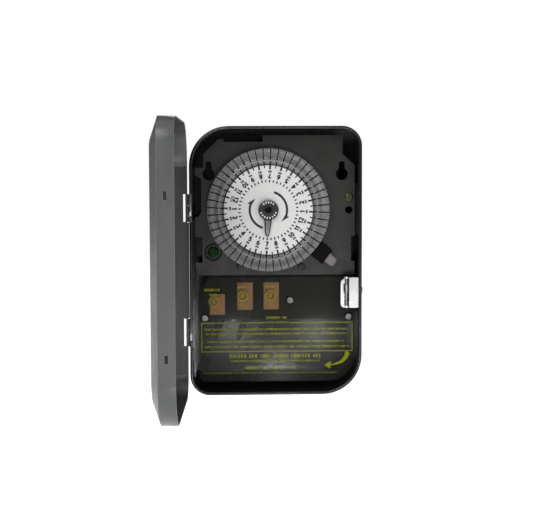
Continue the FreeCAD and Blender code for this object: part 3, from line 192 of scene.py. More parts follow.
class Paint:
    """A Principled material with mottled colour, uneven gloss and a fine bump, all procedural."""

    def __init__(self, name, colour, roughness, metallic=0.0):
        self.material = bpy.data.materials.new(name)
        self.material.use_nodes = True
        self.tree = self.material.node_tree
        self.nodes, self.links = self.tree.nodes, self.tree.links
        self.shader = self.nodes["Principled BSDF"]
        self.colour, self.roughness = colour, roughness
        self.shader.inputs["Base Color"].default_value = (*colour, 1)
        self.shader.inputs["Roughness"].default_value = roughness
        self.shader.inputs["Metallic"].default_value = metallic
        self.coordinates = self.nodes.new("ShaderNodeTexCoord")

    def set(self, **sockets):
        """Set the shader's inputs by name."""
        for name, value in sockets.items():
            self.shader.inputs[name.replace("_", " ")].default_value = value
        return self

    def noise(self, grain_mm, detail, stretch=None):
        """Noise whose blotches are about that size."""
        texture = self.nodes.new("ShaderNodeTexNoise")
        texture.inputs["Scale"].default_value = 1000.0 / grain_mm
        texture.inputs["Detail"].default_value = detail
        source = self.coordinates.outputs["Object"]
        if stretch:
            mapping = self.nodes.new("ShaderNodeMapping")
            mapping.inputs["Scale"].default_value = stretch
            self.links.new(source, mapping.inputs["Vector"])
            source = mapping.outputs["Vector"]
        self.links.new(source, texture.inputs["Vector"])
        return texture.outputs["Fac"]

    def spread(self, factor, low, high):
        """Map the useful middle of a noise to low..high."""
        node = self.nodes.new("ShaderNodeMapRange")
        node.inputs["From Min"].default_value = 0.3
        node.inputs["From Max"].default_value = 0.7
        node.inputs["To Min"].default_value = low
        node.inputs["To Max"].default_value = high
        self.links.new(factor, node.inputs["Value"])
        return node.outputs["Result"]

    def mix_colour(self, factor, first, second):
        """Blend two colours, each a tuple or a socket."""
        node = self.nodes.new("ShaderNodeMix")
        node.data_type = "RGBA"
        self.links.new(factor, node.inputs["Factor"])
        for socket, value in (("A", first), ("B", second)):
            target = [s for s in node.inputs if s.name == socket and s.type == "RGBA"][0]
            if isinstance(value, tuple):
                target.default_value = (*value, 1)
            else:
                self.links.new(value, target)
        return [s for s in node.outputs if s.type == "RGBA"][0]

    def mottle(self, grain_mm, amount):
        """Blotches of a slightly darker and a slightly lighter colour."""
        darker = tuple(c * (1 - amount) for c in self.colour)
        lighter = tuple(min(1.0, c * (1 + amount)) for c in self.colour)
        factor = self.spread(self.noise(grain_mm, 4.0), 0.0, 1.0)
        self.tint = self.mix_colour(factor, darker, lighter)
        self.links.new(self.tint, self.shader.inputs["Base Color"])
        return self

    def uneven_gloss(self, grain_mm, amount):
        """Patches that are a little duller and a little glossier."""
        factor = self.noise(grain_mm, 4.0)
        result = self.spread(factor, self.roughness - amount, self.roughness + amount)
        self.links.new(result, self.shader.inputs["Roughness"])
        return self

    def bump(self, grain_mm, depth_mm, stretch=None):
        """A fine relief, stretched along an axis for brushed metal."""
        node = self.nodes.new("ShaderNodeBump")
        node.inputs["Distance"].default_value = depth_mm * MM
        self.links.new(self.noise(grain_mm, 2.0, stretch), node.inputs["Height"])
        self.links.new(node.outputs["Normal"], self.shader.inputs["Normal"])
        return self

    def rings(self):
        """Painted light and shade: darker and lighter rings about the dial's axis, as light gathers
        in a clear moulding.
        """
        split = self.nodes.new("ShaderNodeSeparateXYZ")
        across = self.nodes.new("ShaderNodeCombineXYZ")
        self.links.new(self.coordinates.outputs["Object"], split.inputs[0])
        self.links.new(split.outputs["X"], across.inputs["X"])
        self.links.new(split.outputs["Z"], across.inputs["Y"])
        reach = self.nodes.new("ShaderNodeVectorMath")
        reach.operation = "DISTANCE"
        self.links.new(across.outputs[0], reach.inputs[0])
        reach.inputs[1].default_value = (DIAL_X * MM, DIAL_Z * MM, 0)
        share = self.nodes.new("ShaderNodeMapRange")
        share.inputs["From Min"].default_value = DISC_R * MM
        share.inputs["From Max"].default_value = TRIPPER_R * MM
        self.links.new(reach.outputs["Value"], share.inputs["Value"])
        ramp = self.nodes.new("ShaderNodeValToRGB")
        self.links.new(share.outputs["Result"], ramp.inputs["Fac"])
        bands = ((0.0, 0.4), (0.14, 0.75), (0.3, 1.3), (0.46, 0.7), (0.62, 0.75), (0.82, 1.05),
                 (1.0, 1.6))
        while len(ramp.color_ramp.elements) < len(bands):
            ramp.color_ramp.elements.new(0.5)
        for element, (place, level) in zip(ramp.color_ramp.elements, bands):
            element.position = place
            element.color = (level / 2, level / 2, level / 2, 1)
        shade = self.nodes.new("ShaderNodeVectorMath")
        shade.operation = "MULTIPLY"
        self.links.new(self.tint, shade.inputs[0])
        self.links.new(ramp.outputs["Color"], shade.inputs[1])
        doubled = self.nodes.new("ShaderNodeVectorMath")
        doubled.operation = "SCALE"
        doubled.inputs["Scale"].default_value = 2.0
        self.links.new(shade.outputs["Vector"], doubled.inputs[0])
        self.tint = doubled.outputs["Vector"]
        return self

    def worn_edges(self, wear_and_highlight_colour, radius_mm, amount):
        """Lighter colour where an edge is, broken up by noise: worn paint and a painted highlight
        along the edge.
        """
        bevel, geometry = self.nodes.new("ShaderNodeBevel"), self.nodes.new("ShaderNodeNewGeometry")
        bevel.samples = 4
        bevel.inputs["Radius"].default_value = radius_mm * MM
        dot = self.nodes.new("ShaderNodeVectorMath")
        dot.operation = "DOT_PRODUCT"
        self.links.new(bevel.outputs["Normal"], dot.inputs[0])
        self.links.new(geometry.outputs["Normal"], dot.inputs[1])
        edge = self.nodes.new("ShaderNodeMapRange")
        edge.inputs["From Min"].default_value = 0.97
        edge.inputs["From Max"].default_value = 0.75
        edge.inputs["To Max"].default_value = amount
        self.links.new(dot.outputs["Value"], edge.inputs["Value"])
        broken = self.nodes.new("ShaderNodeMath")
        broken.operation = "MULTIPLY"
        self.links.new(edge.outputs["Result"], broken.inputs[0])
        self.links.new(self.spread(self.noise(1.6, 3.0), 0.2, 1.0), broken.inputs[1])
        base = getattr(self, "tint", self.colour)
        self.tint = self.mix_colour(broken.outputs["Value"], base, wear_and_highlight_colour)
        self.links.new(self.tint, self.shader.inputs["Base Color"])
        return self

    def lets_lamps_through(self, shade):
        """Shadow rays pass, dimmed to that shade, so that what lies behind is lit."""
        path = self.nodes.new("ShaderNodeLightPath")
        clear = self.nodes.new("ShaderNodeBsdfTransparent")
        clear.inputs["Color"].default_value = (shade, shade, shade, 1)
        mix = self.nodes.new("ShaderNodeMixShader")
        self.links.new(path.outputs["Is Shadow Ray"], mix.inputs[0])
        self.links.new(self.shader.outputs["BSDF"], mix.inputs[1])
        self.links.new(clear.outputs["BSDF"], mix.inputs[2])
        self.links.new(mix.outputs["Shader"], self.nodes["Material Output"].inputs["Surface"])
        return self


def make_materials():
    """Every finish, named after the record's slots, with a few more for drawn pieces."""
    paints = {}

    def add(name, colour, roughness, metallic=0.0):
        paints[name] = Paint(name, rgb(*colour), roughness, metallic)
        return paints[name]

    # The case's lighter edges are worn paint and a painted highlight.
    add("case_paint", (27, 27, 27), 0.13).mottle(30, 0.10).uneven_gloss(40, 0.015).bump(
        9.0, 0.002).set(Specular_IOR_Level=0.4).worn_edges(rgb(80, 80, 79), 0.5, 0.3)
    # The door's light edges are worn paint and a painted highlight.
    add("door_paint", (70, 71, 71), 0.34).mottle(34, 0.07).uneven_gloss(10, 0.05).bump(
        1.4, 0.012).worn_edges(rgb(190, 191, 190), 0.6, 0.6)
    add("zinc", (166, 166, 165), 0.22, 1.0).mottle(9, 0.06).uneven_gloss(5, 0.04).bump(
        2.2, 0.003, (1, 1, 0.2))
    # A darker copy of zinc for the insulator's screws: painted shade.
    add("shaded_screw_zinc", (78, 78, 77), 0.14, 1.0).mottle(3, 0.1).uneven_gloss(2, 0.05)
    add("yellow_zinc", (80, 80, 52), 0.34, 1.0).mottle(3, 0.18).uneven_gloss(2, 0.08).bump(
        0.8, 0.01)
    add("spring_steel", (170, 172, 176), 0.26, 1.0).mottle(3, 0.10).uneven_gloss(2, 0.06).bump(
        0.5, 0.006)
    add("plate_plastic", (33, 33, 31), 0.38).mottle(30, 0.2).uneven_gloss(13, 0.09).bump(
        0.6, 0.008).set(Specular_IOR_Level=0.35)
    add("housing_plastic", (24, 24, 24), 0.50).mottle(18, 0.12).uneven_gloss(6, 0.06).bump(
        0.6, 0.01)
    add("block_plastic", (24, 24, 22), 0.62).mottle(14, 0.14).uneven_gloss(9, 0.04).set(
        Specular_IOR_Level=0.2)
    add("gear_plastic", (226, 222, 205), 0.40).mottle(8, 0.05).uneven_gloss(3, 0.05).bump(
        0.5, 0.008)
    smoke = add("smoke_plastic", (112, 109, 112), 0.25)
    # Painted light and shade on the trippers: the rings, and a painted highlight on their edges.
    smoke.mottle(9, 0.07).uneven_gloss(4, 0.05).rings().worn_edges(rgb(200, 198, 200), 0.3, 0.6)
    smoke.set(Transmission_Weight=0.15, IOR=1.49)
    clear = add("clear_plastic", (46, 46, 43), 0.12)
    clear.mottle(30, 0.05).uneven_gloss(60, 0.01).set(Alpha=0.42, Specular_IOR_Level=0.04)
    tip = add("clear_tip", (196, 190, 192), 0.08)
    tip.uneven_gloss(2, 0.04).bump(1.6, 0.16).set(Transmission_Weight=0.85, IOR=1.46)
    tip.lets_lamps_through(0.7)
    add("lever_plastic", (7, 6, 7), 0.42).mottle(5, 0.2).uneven_gloss(3, 0.06).bump(0.9, 0.006).set(
        Specular_IOR_Level=0.06)
    add("disc_white", (205, 204, 203), 0.40).mottle(12, 0.025).uneven_gloss(5, 0.05).bump(
        0.6, 0.006)
    add("dial_ink", (14, 14, 15), 0.5).mottle(1.5, 0.2).uneven_gloss(1.2, 0.06).bump(0.4, 0.004)
    add("pointer_plastic", (40, 40, 41), 0.22).mottle(3, 0.12).uneven_gloss(2, 0.05).bump(0.6, 0.01)
    # A lighter grey for the pointer's rib: a painted highlight along the stem.
    add("rib_highlight", (112, 110, 111), 0.3).mottle(2, 0.12).uneven_gloss(2, 0.05).bump(0.6, 0.01)
    add("pale_ink", (196, 196, 190), 0.5).mottle(1.0, 0.1).uneven_gloss(1, 0.05)
    add("yellow_ink", (136, 142, 6), 0.6).mottle(2.0, 0.14).uneven_gloss(1.5, 0.06).set(
        Specular_IOR_Level=0.15)
    add("brass", (218, 166, 108), 0.34, 1.0).mottle(7, 0.08).uneven_gloss(4, 0.05).bump(
        0.7, 0.01, (1, 1, 0.25))
    add("silver_contact", (222, 221, 216), 0.2, 1.0).mottle(1.2, 0.08).uneven_gloss(1, 0.05)
    # The ground screw's lighter green edges are a painted highlight.
    add("green_paint", (4, 40, 8), 0.3).mottle(1.6, 0.25).uneven_gloss(1.2, 0.08).bump(
        0.5, 0.01).worn_edges(rgb(50, 100, 60), 0.2, 0.4).set(Specular_IOR_Level=0.1)
    add("black_plating", (4, 4, 4), 0.1).mottle(1.4, 0.2).uneven_gloss(1.2, 0.04)
    add("motor_can", (176, 176, 170), 0.32, 1.0).mottle(7, 0.1).uneven_gloss(3, 0.08).bump(
        0.9, 0.01, (1, 0.2, 1))
    add("lead_sleeve", (8, 8, 9), 0.5).mottle(3, 0.15).uneven_gloss(2, 0.06).bump(0.6, 0.01)
    return {name: paint.material for name, paint in paints.items()}


# ---- helpers for pieces ----

MATERIALS = make_materials()


def add_piece(name, data, body, material, replaces=()):
    """Link a mesh as a piece that rides on a CAD body and takes its finish from a slot."""
    data.materials.clear()
    data.materials.append(MATERIALS[material])
    piece = bpy.data.objects.new(name, data)
    bpy.context.scene.collection.objects.link(piece)
    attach(piece, body)
    if replaces:
        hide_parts(*replaces)


def finish_mesh(name, shape, smooth_below=40.0):
    """A mesh datablock from a bmesh in mm, with outward faces and sharp edges kept sharp."""
    bmesh.ops.recalc_face_normals(shape, faces=shape.faces)
    for vertex in shape.verts:
        vertex.co *= MM
    data = bpy.data.meshes.new(name)
    shape.to_mesh(data)
    shape.free()
    data.shade_smooth()
    data.set_sharp_from_angle(angle=math.radians(smooth_below))
    return data


def add_prism(shape, outline, low, high):
    """Add a closed prism: an outline of (x, z) between two distances from the wall."""
    back = [shape.verts.new((x, -low, z)) for x, z in outline]
    front = [shape.verts.new((x, -high, z)) for x, z in outline]
    count = len(outline)
    shape.faces.new(back)
    shape.faces.new(list(reversed(front)))
    for here in range(count):
        after = (here + 1) % count
        shape.faces.new((back[here], back[after], front[after], front[here]))


def add_strip(shape, inner, outer, low, high):
    """Add a closed prism over the band between two lines of (x, z) points."""
    rows = [[shape.verts.new((x, -out, z)) for x, z in line]
            for line, out in ((inner, low), (outer, low), (outer, high), (inner, high))]
    for a, b in zip(rows, rows[1:] + rows[:1]):
        for here in range(len(inner) - 1):
            shape.faces.new((a[here], a[here + 1], b[here + 1], b[here]))
    for end in (0, -1):
        shape.faces.new([line[end] for line in rows])


def add_lathe(shape, profile, x, z, steps=64):
    """Add a body turned about an axis out of the wall: profile holds (radius, out) points."""
    rings = []
    for radius, out in profile:
        if radius < 1e-6:
            rings.append([shape.verts.new((x, -out, z))])
            continue
        angles = [2 * math.pi * step / steps for step in range(steps)]
        rings.append([shape.verts.new((x + radius * math.cos(a), -out, z + radius * math.sin(a)))
                      for a in angles])
    for first, second in zip(rings, rings[1:]):
        for step in range(steps):
            after = (step + 1) % steps
            corners = [first[step % len(first)], first[after % len(first)],
                       second[after % len(second)], second[step % len(second)]]
            shape.faces.new(list(dict.fromkeys(corners)))
    if len(rings[0]) > 1 and len(rings[-1]) > 1:
        for step in range(steps):
            after = (step + 1) % steps
            shape.faces.new((rings[-1][step], rings[-1][after], rings[0][after], rings[0][step]))


def bevel_edges(shape, wanted, width, segments):
    """Round the edges that wanted() picks."""
    edges = [edge for edge in shape.edges if wanted(edge)]
    bmesh.ops.bevel(shape, geom=edges, offset=width, segments=segments, affect="EDGES", profile=0.5)


def polar(radius, degrees, x=DIAL_X, z=DIAL_Z):
    """A point (x, z) at a radius and angle about a centre, the dial's unless given."""
    angle = math.radians(degrees)
    return x + radius * math.cos(angle), z + radius * math.sin(angle)


def arc(radius, start, end, steps, x=DIAL_X, z=DIAL_Z):
    """Points along an arc about a centre."""
    return [polar(radius, start + (end - start) * step / steps, x, z)
            for step in range(steps + 1)]


def radial_bar(degrees, inner, outer, half):
    """Corners of a bar that points away from the dial's axis."""
    angle = math.radians(degrees)
    along = Vector((math.cos(angle), math.sin(angle)))
    across = Vector((-math.sin(angle), math.cos(angle)))
    centre = Vector((DIAL_X, DIAL_Z))
    return [centre + along * reach + across * side
            for reach, side in ((inner, -half), (outer, -half), (outer, half), (inner, half))]


# ---- the dial ----

def bow(x, z, wide, high, start, end, steps=14):
    """Points along part of an ellipse, for a number's curves."""
    return [(x + wide * math.cos(math.radians(start + (end - start) * step / steps)),
             z + high * math.sin(math.radians(start + (end - start) * step / steps)))
            for step in range(steps + 1)]


# Centre lines of each figure's strokes: one unit high, upright, centred on x = 0.
FIGURES = {
    "0": [bow(0, 0.5, 0.22, 0.40, 0, 360, 24)],
    "1": [[(-0.19, 0.70), (0.02, 0.90)], [(0.05, 0.0), (0.05, 1.0)]],
    "2": [bow(-0.01, 0.67, 0.22, 0.23, 165, -30) + [(-0.19, 0.12)], [(-0.30, 0.10), (0.29, 0.10)]],
    "3": [bow(-0.03, 0.70, 0.21, 0.20, 150, -90), bow(-0.03, 0.305, 0.25, 0.205, 90, -150)],
    "4": [[(0.13, 0.0), (0.13, 0.98)], [(0.10, 0.93), (-0.29, 0.30)],
          [(-0.36, 0.27), (0.34, 0.27)]],
    "5": [[(0.24, 0.90), (-0.20, 0.90)], [(-0.16, 0.92), (-0.20, 0.50)],
          bow(-0.02, 0.335, 0.25, 0.235, 130, -150)],
    "6": [bow(0, 0.32, 0.22, 0.225, 0, 360, 20),
          [(-0.22, 0.34), (-0.18, 0.60), (-0.04, 0.80), (0.16, 0.93)]],
    "7": [[(-0.28, 0.90), (0.28, 0.90)], [(0.24, 0.90), (0.02, 0.45), (-0.07, 0.0)]],
    "8": [bow(0, 0.705, 0.18, 0.195, 0, 360, 20), bow(0, 0.305, 0.235, 0.205, 0, 360, 20)],
}
FIGURES["9"] = [[(-x, 1 - z) for x, z in stroke] for stroke in FIGURES["6"]]


def add_stroke(shape, points, width, low, high):
    """Add a thin solid band of even width along a line of (x, z) points."""
    points = [Vector(point) for point in points]
    closed = (points[0] - points[-1]).length < 1e-6
    ways = [(b - a).normalized() for a, b in zip(points, points[1:])]
    sides = ([], [])
    for place, point in enumerate(points):
        before = ways[place - 1] if place or closed else ways[0]
        after = ways[place % len(ways)] if place < len(ways) or closed else ways[-1]
        along = (before + after).normalized()
        reach = width / 2 / max(0.5, along.dot(after))
        across = Vector((-along.y, along.x)) * reach
        sides[0].append(point - across)
        sides[1].append(point + across)
    add_strip(shape, *sides, low, high)


def add_number(shape, text, height, centre, degrees, out, weight):
    """Add a number as thin solid ink, turned anticlockwise from upright by degrees."""
    turn = math.radians(degrees)
    right, up = Vector((math.cos(turn), math.sin(turn))), Vector((-math.sin(turn), math.cos(turn)))
    narrow, wide = 0.50, 0.76
    widths = [narrow if figure == "1" else wide for figure in text]
    start = -sum(widths) / 2
    for figure, width in zip(text, widths):
        middle = start + width / 2
        start += width
        for stroke in FIGURES[figure]:
            line = [Vector(centre) + (right * (x + middle) + up * (z - 0.5)) * height
                    for x, z in stroke]
            add_stroke(shape, line, weight * height, out, out + INK)


def build_disc():
    """The printed white disc: a shallow turned dish with a soft rim."""
    shape = bmesh.new()
    bore, low = 4.0, DISC_OUT - 1.0
    add_lathe(shape, [(bore, low), (DISC_R - 0.2, low), (DISC_R, low + 0.25),
                      (DISC_R, DISC_OUT - 0.3), (DISC_R - 0.09, DISC_OUT - 0.09),
                      (DISC_R - 0.3, DISC_OUT), (bore, DISC_OUT)], DIAL_X, DIAL_Z, 192)
    add_piece("printed_disc", finish_mesh("printed_disc", shape), "dial",
              "disc_white", ["dial_disc"])


def build_dial_print():
    """Hour and half-hour marks, numbers for two twelve-hour halves, and two turning arrows."""
    shape = bmesh.new()
    low, high = DISC_OUT, DISC_OUT + INK
    step = 360 / HOURS
    rim = DISC_R - 0.12
    number_r, number_height, number_weight = 27.5, 3.9, 0.28
    first_number = 7
    twelve_spread = 4.6
    for hour in range(HOURS):
        angle = DIAL_TURNED + step * hour
        add_prism(shape, radial_bar(angle, DISC_R - 3.2, rim, 0.74), low, high)
        add_prism(shape, radial_bar(angle + step / 2, DISC_R - 2.1, rim, 0.5), low, high)
        add_prism(shape, radial_bar(angle, 22.2, 24.4, 0.55), low, high)
        add_prism(shape, radial_bar(angle + step / 2, 22.4, 24.3, 0.52), low, high)
        number = (hour + first_number - 1) % 12 + 1
        add_number(shape, str(number), number_height, polar(number_r, angle), angle + 90,
                   DISC_OUT, number_weight)
        if number == 12 and hour > HOURS / 2:
            # One of the two twelves has a pair of arcs instead of four short bars.
            ends = angle - twelve_spread, angle + twelve_spread
            for reach in (30.0, 31.1):
                add_strip(shape, arc(reach, *ends, 6), arc(reach + 0.6, *ends, 6), low, high)
            continue
        for side in (-2.0, -0.7, 0.7, 2.0):
            add_prism(shape, radial_bar(angle + side, 30.2, 31.8, 0.3), low, high)
    arrow_inner, arrow_outer, head_inner, head_outer, head_angle = 14.1, 16.0, 14.0, 17.8, 24.0
    for start, end in ((72.0, -18.0), (252.0, 162.0)):
        add_strip(shape, arc(arrow_inner, start, end, 36), arc(arrow_outer, start, end, 36),
                  low, high)
        add_prism(shape, [polar(head_outer, end), polar(head_inner, end - head_angle),
                          polar(head_inner, end)], low, high)
    add_piece("dial_print", finish_mesh("dial_print", shape), "dial", "dial_ink")


def tripper_shape(shape, degrees):
    """Add one tripper: a ribbed wedge with a serrated outer edge, a leg and a bore for the wire."""
    step = math.radians(360 / TRIPPERS)
    gap, inner, outer = 1.05, DISC_R + 0.35, TRIPPER_R
    top, leg_out = extent("tripper_1").front, extent("tripper_1").back
    under = top - TRIPPER_THICK
    section = [(inner, under + 0.3), (inner, top - 1.3), (inner + 0.5, top - 0.85),
               (38.2, top - 0.55), (39.6, top - 0.08), (40.6, top), (41.6, top - 0.35),
               (42.6, top - 0.75), (43.6, top - 0.7), (45.2, top - 0.3), (46.6, top - 0.12),
               (47.8, top - 0.3), (49.0, top - 0.75), (outer, top - 1.5), (outer, under + 0.5),
               (49.4, under), (47.4, under), (47.4, leg_out + 0.4), (47.1, leg_out),
               (45.7, leg_out), (45.4, leg_out + 0.4), (45.4, under)]
    lip = math.asin((WIRE_OUT - under) / WIRE_BORE)
    bore_steps = 10
    for part in range(bore_steps + 1):
        turn = -lip + (math.pi + 2 * lip) * part / bore_steps
        section.append((WIRE_R + WIRE_BORE * math.cos(turn),
                        WIRE_OUT + WIRE_BORE * math.sin(turn)))
    teeth, tooth_depth, toothed_from = 4, 0.5, 48.8
    rib_depth, ribs_from, ribs_to = 0.28, 43.2, 49.2
    corner = 0.12
    columns = []
    for number in range(4 * teeth + 1):
        share = number / (2 * teeth) - 1
        notch = 0.5 - 0.5 * math.cos(math.pi * number / 2)
        inside = abs(share) > 0.999
        column = []
        for reach, out in section:
            tooth = tooth_depth * notch if reach > toothed_from else 0.0
            length = reach - tooth - (corner if inside else 0)
            rib = rib_depth * notch if ribs_from < reach < ribs_to and out > under + 1 else 0.0
            level = out - rib - (corner if inside and out > under else 0)
            half = (reach * math.tan(step / 2) - gap / 2) * share
            column.append(Vector((length, -level, half)))
        columns.append(column)
    turn = Matrix.Rotation(math.radians(-degrees), 4, Vector((0, 1, 0)))
    move = Matrix.Translation(Vector((DIAL_X, 0, DIAL_Z))) @ turn
    rings = [[shape.verts.new(move @ point) for point in column] for column in columns]
    count = len(section)
    for first, second in zip(rings, rings[1:]):
        for here in range(count):
            after = (here + 1) % count
            shape.faces.new((first[here], first[after], second[after], second[here]))
    shape.faces.new(rings[0])
    shape.faces.new(list(reversed(rings[-1])))


def build_trippers():
    """All the trippers. Every eighth rides on its own body, the rest are one group."""
    every = TRIPPERS // MOVING_TRIPPERS
    step = 360 / TRIPPERS
    group = bmesh.new()
    for number in range(TRIPPERS):
        angle = DIAL_TURNED + step * (number + 0.5)
        if number % every:
            tripper_shape(group, angle)
            continue
        label = "tripper_%d" % (number // every + 1)
        shape = bmesh.new()
        tripper_shape(shape, angle)
        add_piece(label + "_moulding", finish_mesh(label, shape), label,
                  "smoke_plastic", [label])
    add_piece("tripper_mouldings", finish_mesh("tripper_mouldings", group), "dial",
              "smoke_plastic", ["trippers"])


def build_pointer():
    """A dark hub with a raised lip, a ribbed stem that points down, and a ring of pale pips."""
    box = extent("pointer")
    low, high = box.back, box.front
    hub, reach = 8.2, DIAL_Z - box.bottom
    shape = bmesh.new()
    add_lathe(shape, [(1.5, low), (hub - 0.3, low), (hub, low + 0.3), (hub, high - 0.5),
                      (hub - 0.15, high - 0.15), (hub - 0.5, high), (hub - 0.9, high - 0.05),
                      (hub - 1.2, high - 0.35), (4.6, high - 0.35), (4.3, high - 0.1),
                      (3.3, high - 0.1), (3.1, high - 0.25), (1.5, high - 0.25)],
              DIAL_X, DIAL_Z, 96)
    add_piece("pointer_hub", finish_mesh("pointer_hub", shape, 30), "enclosure",
              "pointer_plastic", ["pointer"])

    def tapered(profile):
        """Outline of the stem from (distance down, half width) pairs, leaning like the pointer."""
        lean = math.radians(POINTER_LEAN)
        outline = [(side * half, -down) for side, line in ((-1, profile), (1, profile[::-1]))
                   for down, half in line]
        return [(DIAL_X + x * math.cos(lean) - z * math.sin(lean),
                 DIAL_Z + x * math.sin(lean) + z * math.cos(lean)) for x, z in outline]

    stem = bmesh.new()
    add_prism(stem, tapered([(6.6, 3.3), (10.5, 2.75), (reach - 3.6, 2.1), (reach - 1.5, 1.45),
                             (reach - 0.1, 0.35)]), low, high - 0.5)
    bevel_edges(stem, lambda edge: all(v.co.y < -(high - 0.6) for v in edge.verts), 0.45, 3)
    add_piece("pointer_stem", finish_mesh("pointer_stem", stem, 30), "enclosure",
              "pointer_plastic")
    # The rib is lighter than the stem: a painted highlight along its middle.
    rib = bmesh.new()
    add_prism(rib, tapered([(8.6, 2.0), (reach - 3.4, 1.4), (reach - 2.0, 0.7)]),
              high - 0.55, high - 0.2)
    bevel_edges(rib, lambda edge: all(v.co.y < -(high - 0.3) for v in edge.verts), 0.2, 2)
    add_piece("pointer_rib", finish_mesh("pointer_rib", rib, 30), "enclosure",
              "rib_highlight")
    pips = bmesh.new()
    level, thick, pips_r = high - 0.35, 0.07, 6.4
    corners = ((-0.85, -5.4), (0.85, -4.2), (0.85, 4.2), (-0.85, 5.4))
    for start, end, number in ((52, 128, 5), (200, 340, 8)):
        for place in range(number):
            angle = start + (end - start) * place / (number - 1)
            pip = [polar(pips_r + further, angle + turned) for further, turned in corners]
            add_prism(pips, pip, level, level + thick)
    add_piece("pointer_pips", finish_mesh("pointer_pips", pips), "enclosure",
              "pale_ink")


# ---- prints on the insulator ----

RING_STEPS = 48


def build_insulator_print():
    """A frame, rows of plain bars where instructions would be, numbered rings and an arrow."""
    shape = bmesh.new()
    low = extent("insulator").front
    high = low + INK
    draw = random.Random(7)

    def bar(left, bottom, right, top):
        add_prism(shape, [(left, bottom), (right, bottom), (right, top), (left, top)], low, high)

    def words(left, right, middle, height, longest):
        """A line of small marks in groups of uneven length, like words too small to read."""
        x, mark = left, height * 0.6
        while x < right - 2 * mark:
            for _ in range(draw.randint(2, longest)):
                if x < right - mark:
                    tall = height * draw.choice((0.35, 0.5, 0.5))
                    bar(x, middle - tall, x + mark * draw.uniform(0.45, 0.95), middle + tall)
                x += mark * 1.3
            x += mark * 1.1

    left, right, top, bottom, line = -60.4, 63.7, -51.6, -75.8, 0.55
    gap_left, gap_right = -8.3, 11.4
    bar(left, top - line, gap_left, top)
    bar(gap_right, top - line, right, top)
    bar(left, bottom, right, bottom + line)
    bar(left, bottom + line, left + line, top - line)
    bar(right - line, bottom + line, right, top - line)
    # Each row of marks: left, right, middle, height and the longest word.
    rows = ((-7.2, 10.8, -47.6, 2.2, 9), (-7.0, 10.5, -51.5, 1.2, 7), (-57.5, 61.0, -57.2, 1.5, 10),
            (-57.0, 60.0, -61.0, 1.5, 10), (-55.5, 57.0, -67.3, 1.5, 10),
            (-57.5, 61.5, -71.6, 1.5, 10), (-37.0, 39.5, -79.3, 3.0, 8),
            (-36.0, 37.5, -83.4, 1.4, 8), (-24.5, 20.0, -89.0, 2.4, 7),
            (-58.0, 51.0, -93.3, 0.8, 9), (-57.6, -42.8, -24.6, 2.0, 8),
            (-54.0, -46.0, -28.4, 1.2, 5), (-30.0, -23.0, -22.4, 1.2, 5),
            (-7.0, 0.0, -22.2, 1.2, 5))
    for entry in rows:
        words(*entry)
    for number, (x, z) in enumerate(((-50.0, -34.3), (-26.5, -29.7), (-3.7, -29.4))):
        ring = [arc(radius, 0, 360, RING_STEPS, x, z) for radius in (3.75, 4.25)]
        add_strip(shape, *ring, low, high)
        add_number(shape, str(number + 1), 3.4, (x, z), 0, low, 0.16)
    # A hooked arrow that tapers towards its head.
    hook = [(60.0, -76.2), (58.2, -81.0), (54.6, -84.6), (49.0, -86.6), (44.6, -87.0)]
    widths = (3.2, 2.5, 2.0, 1.4, 1.0)
    inner = [(x - w * 0.55, z + w * 0.35) for (x, z), w in zip(hook, widths)]
    outer = [(x + w * 0.45, z - w * 0.45) for (x, z), w in zip(hook, widths)]
    add_strip(shape, inner, outer, low, high)
    add_prism(shape, [(46.0, -83.8), (40.6, -87.2), (45.4, -90.4)], low, high)
    add_piece("insulator_print", finish_mesh("insulator_print", shape), "enclosure",
              "yellow_ink")


# ---- screws and small hardware ----

def build_ground_screw():
    """A green hexagon washer head with a shallow round recess."""
    box = extent("ground_screw")
    x, z = middle_of(box)
    seat, front = extent("mechanism_plate").front, box.front
    flange = (box.right - box.left) / 2
    shape = bmesh.new()
    add_lathe(shape, [(0, seat - 0.01), (flange - 0.1, seat), (flange, seat + 0.3),
                      (flange - 0.4, seat + 0.7), (3.9, seat + 0.95), (3.75, seat + 1.9),
                      (3.3, front - 0.15), (2.6, front), (2.1, front - 0.1),
                      (1.8, front - 0.7), (0, front - 0.7)], x, z, 48)
    hexagon = [polar(4.25, 60 * corner + 30, x, z) for corner in range(6)]
    add_prism(shape, hexagon, seat + 0.5, front - 0.25)
    add_piece("ground_screw_head", finish_mesh("ground_screw_head", shape, 30), "enclosure",
              "green_paint", ["ground_screw"])


def build_ground_boss():
    """A raised seat round the ground screw, moulded with the plate; its black, darker than the
    plate, is painted shade round the screw.
    """
    seat = extent("mechanism_plate").front
    shape = bmesh.new()
    add_lathe(shape, [(6.0, seat - 0.05), (7.1, seat - 0.05), (7.0, seat + 0.5),
                      (6.8, seat + 0.75), (6.5, seat + 0.8), (6.0, seat + 0.7)],
              *middle_of(extent("ground_screw")))
    add_piece("ground_boss", finish_mesh("ground_boss", shape), "enclosure",
              "lever_plastic")


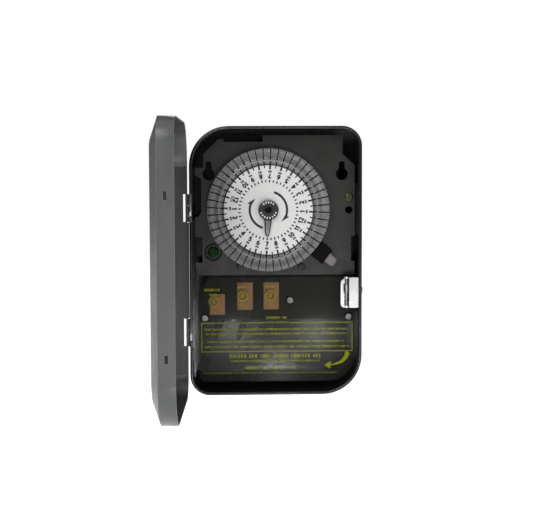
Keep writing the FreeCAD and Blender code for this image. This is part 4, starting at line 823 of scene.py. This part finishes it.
def build_latch_spring():
    """A real coil in place of the plain sleeve round the latch's pin."""
    box = extent("latch_spring")
    x, out = (box.left + box.right) / 2, (box.back + box.front) / 2
    wire = 0.32
    radius = (box.right - box.left) / 2 - wire
    turns, steps = 7, 20
    curve = bpy.data.curves.new("latch_coil", "CURVE")
    curve.dimensions = "3D"
    curve.bevel_depth, curve.bevel_resolution = wire * MM, 3
    curve.use_fill_caps = True
    spline = curve.splines.new("POLY")
    spline.points.add(turns * steps)
    for number in range(turns * steps + 1):
        angle = 2 * math.pi * number / steps
        z = box.bottom + wire + (box.top - box.bottom - 2 * wire) * number / (turns * steps)
        point = row(x + radius * math.cos(angle), out + radius * math.sin(angle), z)
        spline.points[number].co = (*point, 1)
    coil = bpy.data.objects.new("latch_coil", curve)
    bpy.context.scene.collection.objects.link(coil)
    curve.materials.append(MATERIALS["spring_steel"])
    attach(coil, "enclosure")
    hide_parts("latch_spring")


SOFTENED = {"door_shell": 0.9, "override_lever": 0.4, "upper_hinge_door_leaf": 0.2,
            "lower_hinge_door_leaf": 0.2, "upper_hinge_box_leaf": 0.2, "lower_hinge_box_leaf": 0.2}
# The insulator's screws take a darker copy of their zinc: painted shade.
SHADED_COPIES = {"insulator_screws": "shaded_screw_zinc"}


def dress_cad_nodes():
    """Give each CAD node that stays its own procedural material, and round some of its edges."""
    slots = {part["node"]: part["material_slot"] for part in frame["record"]["subparts"]}
    for name, node in frame["nodes"].items():
        data = node.data
        data.materials.clear()
        data.materials.append(MATERIALS[SHADED_COPIES.get(name, slots[name])])
        if name in SOFTENED:
            weld = node.modifiers.new("weld", "WELD")
            weld.merge_threshold = 0.002 * MM
            bevel = node.modifiers.new("soft_edges", "BEVEL")
            bevel.width, bevel.segments = SOFTENED[name] * MM, 3
            bevel.limit_method, bevel.angle_limit = "ANGLE", math.radians(14)
            bevel.harden_normals = True


make_camera()
make_floor()
make_world()
make_lamps()
dress_cad_nodes()
build_disc()
build_dial_print()
build_trippers()
build_pointer()
build_insulator_print()
build_ground_screw()
build_ground_boss()
build_latch_spring()
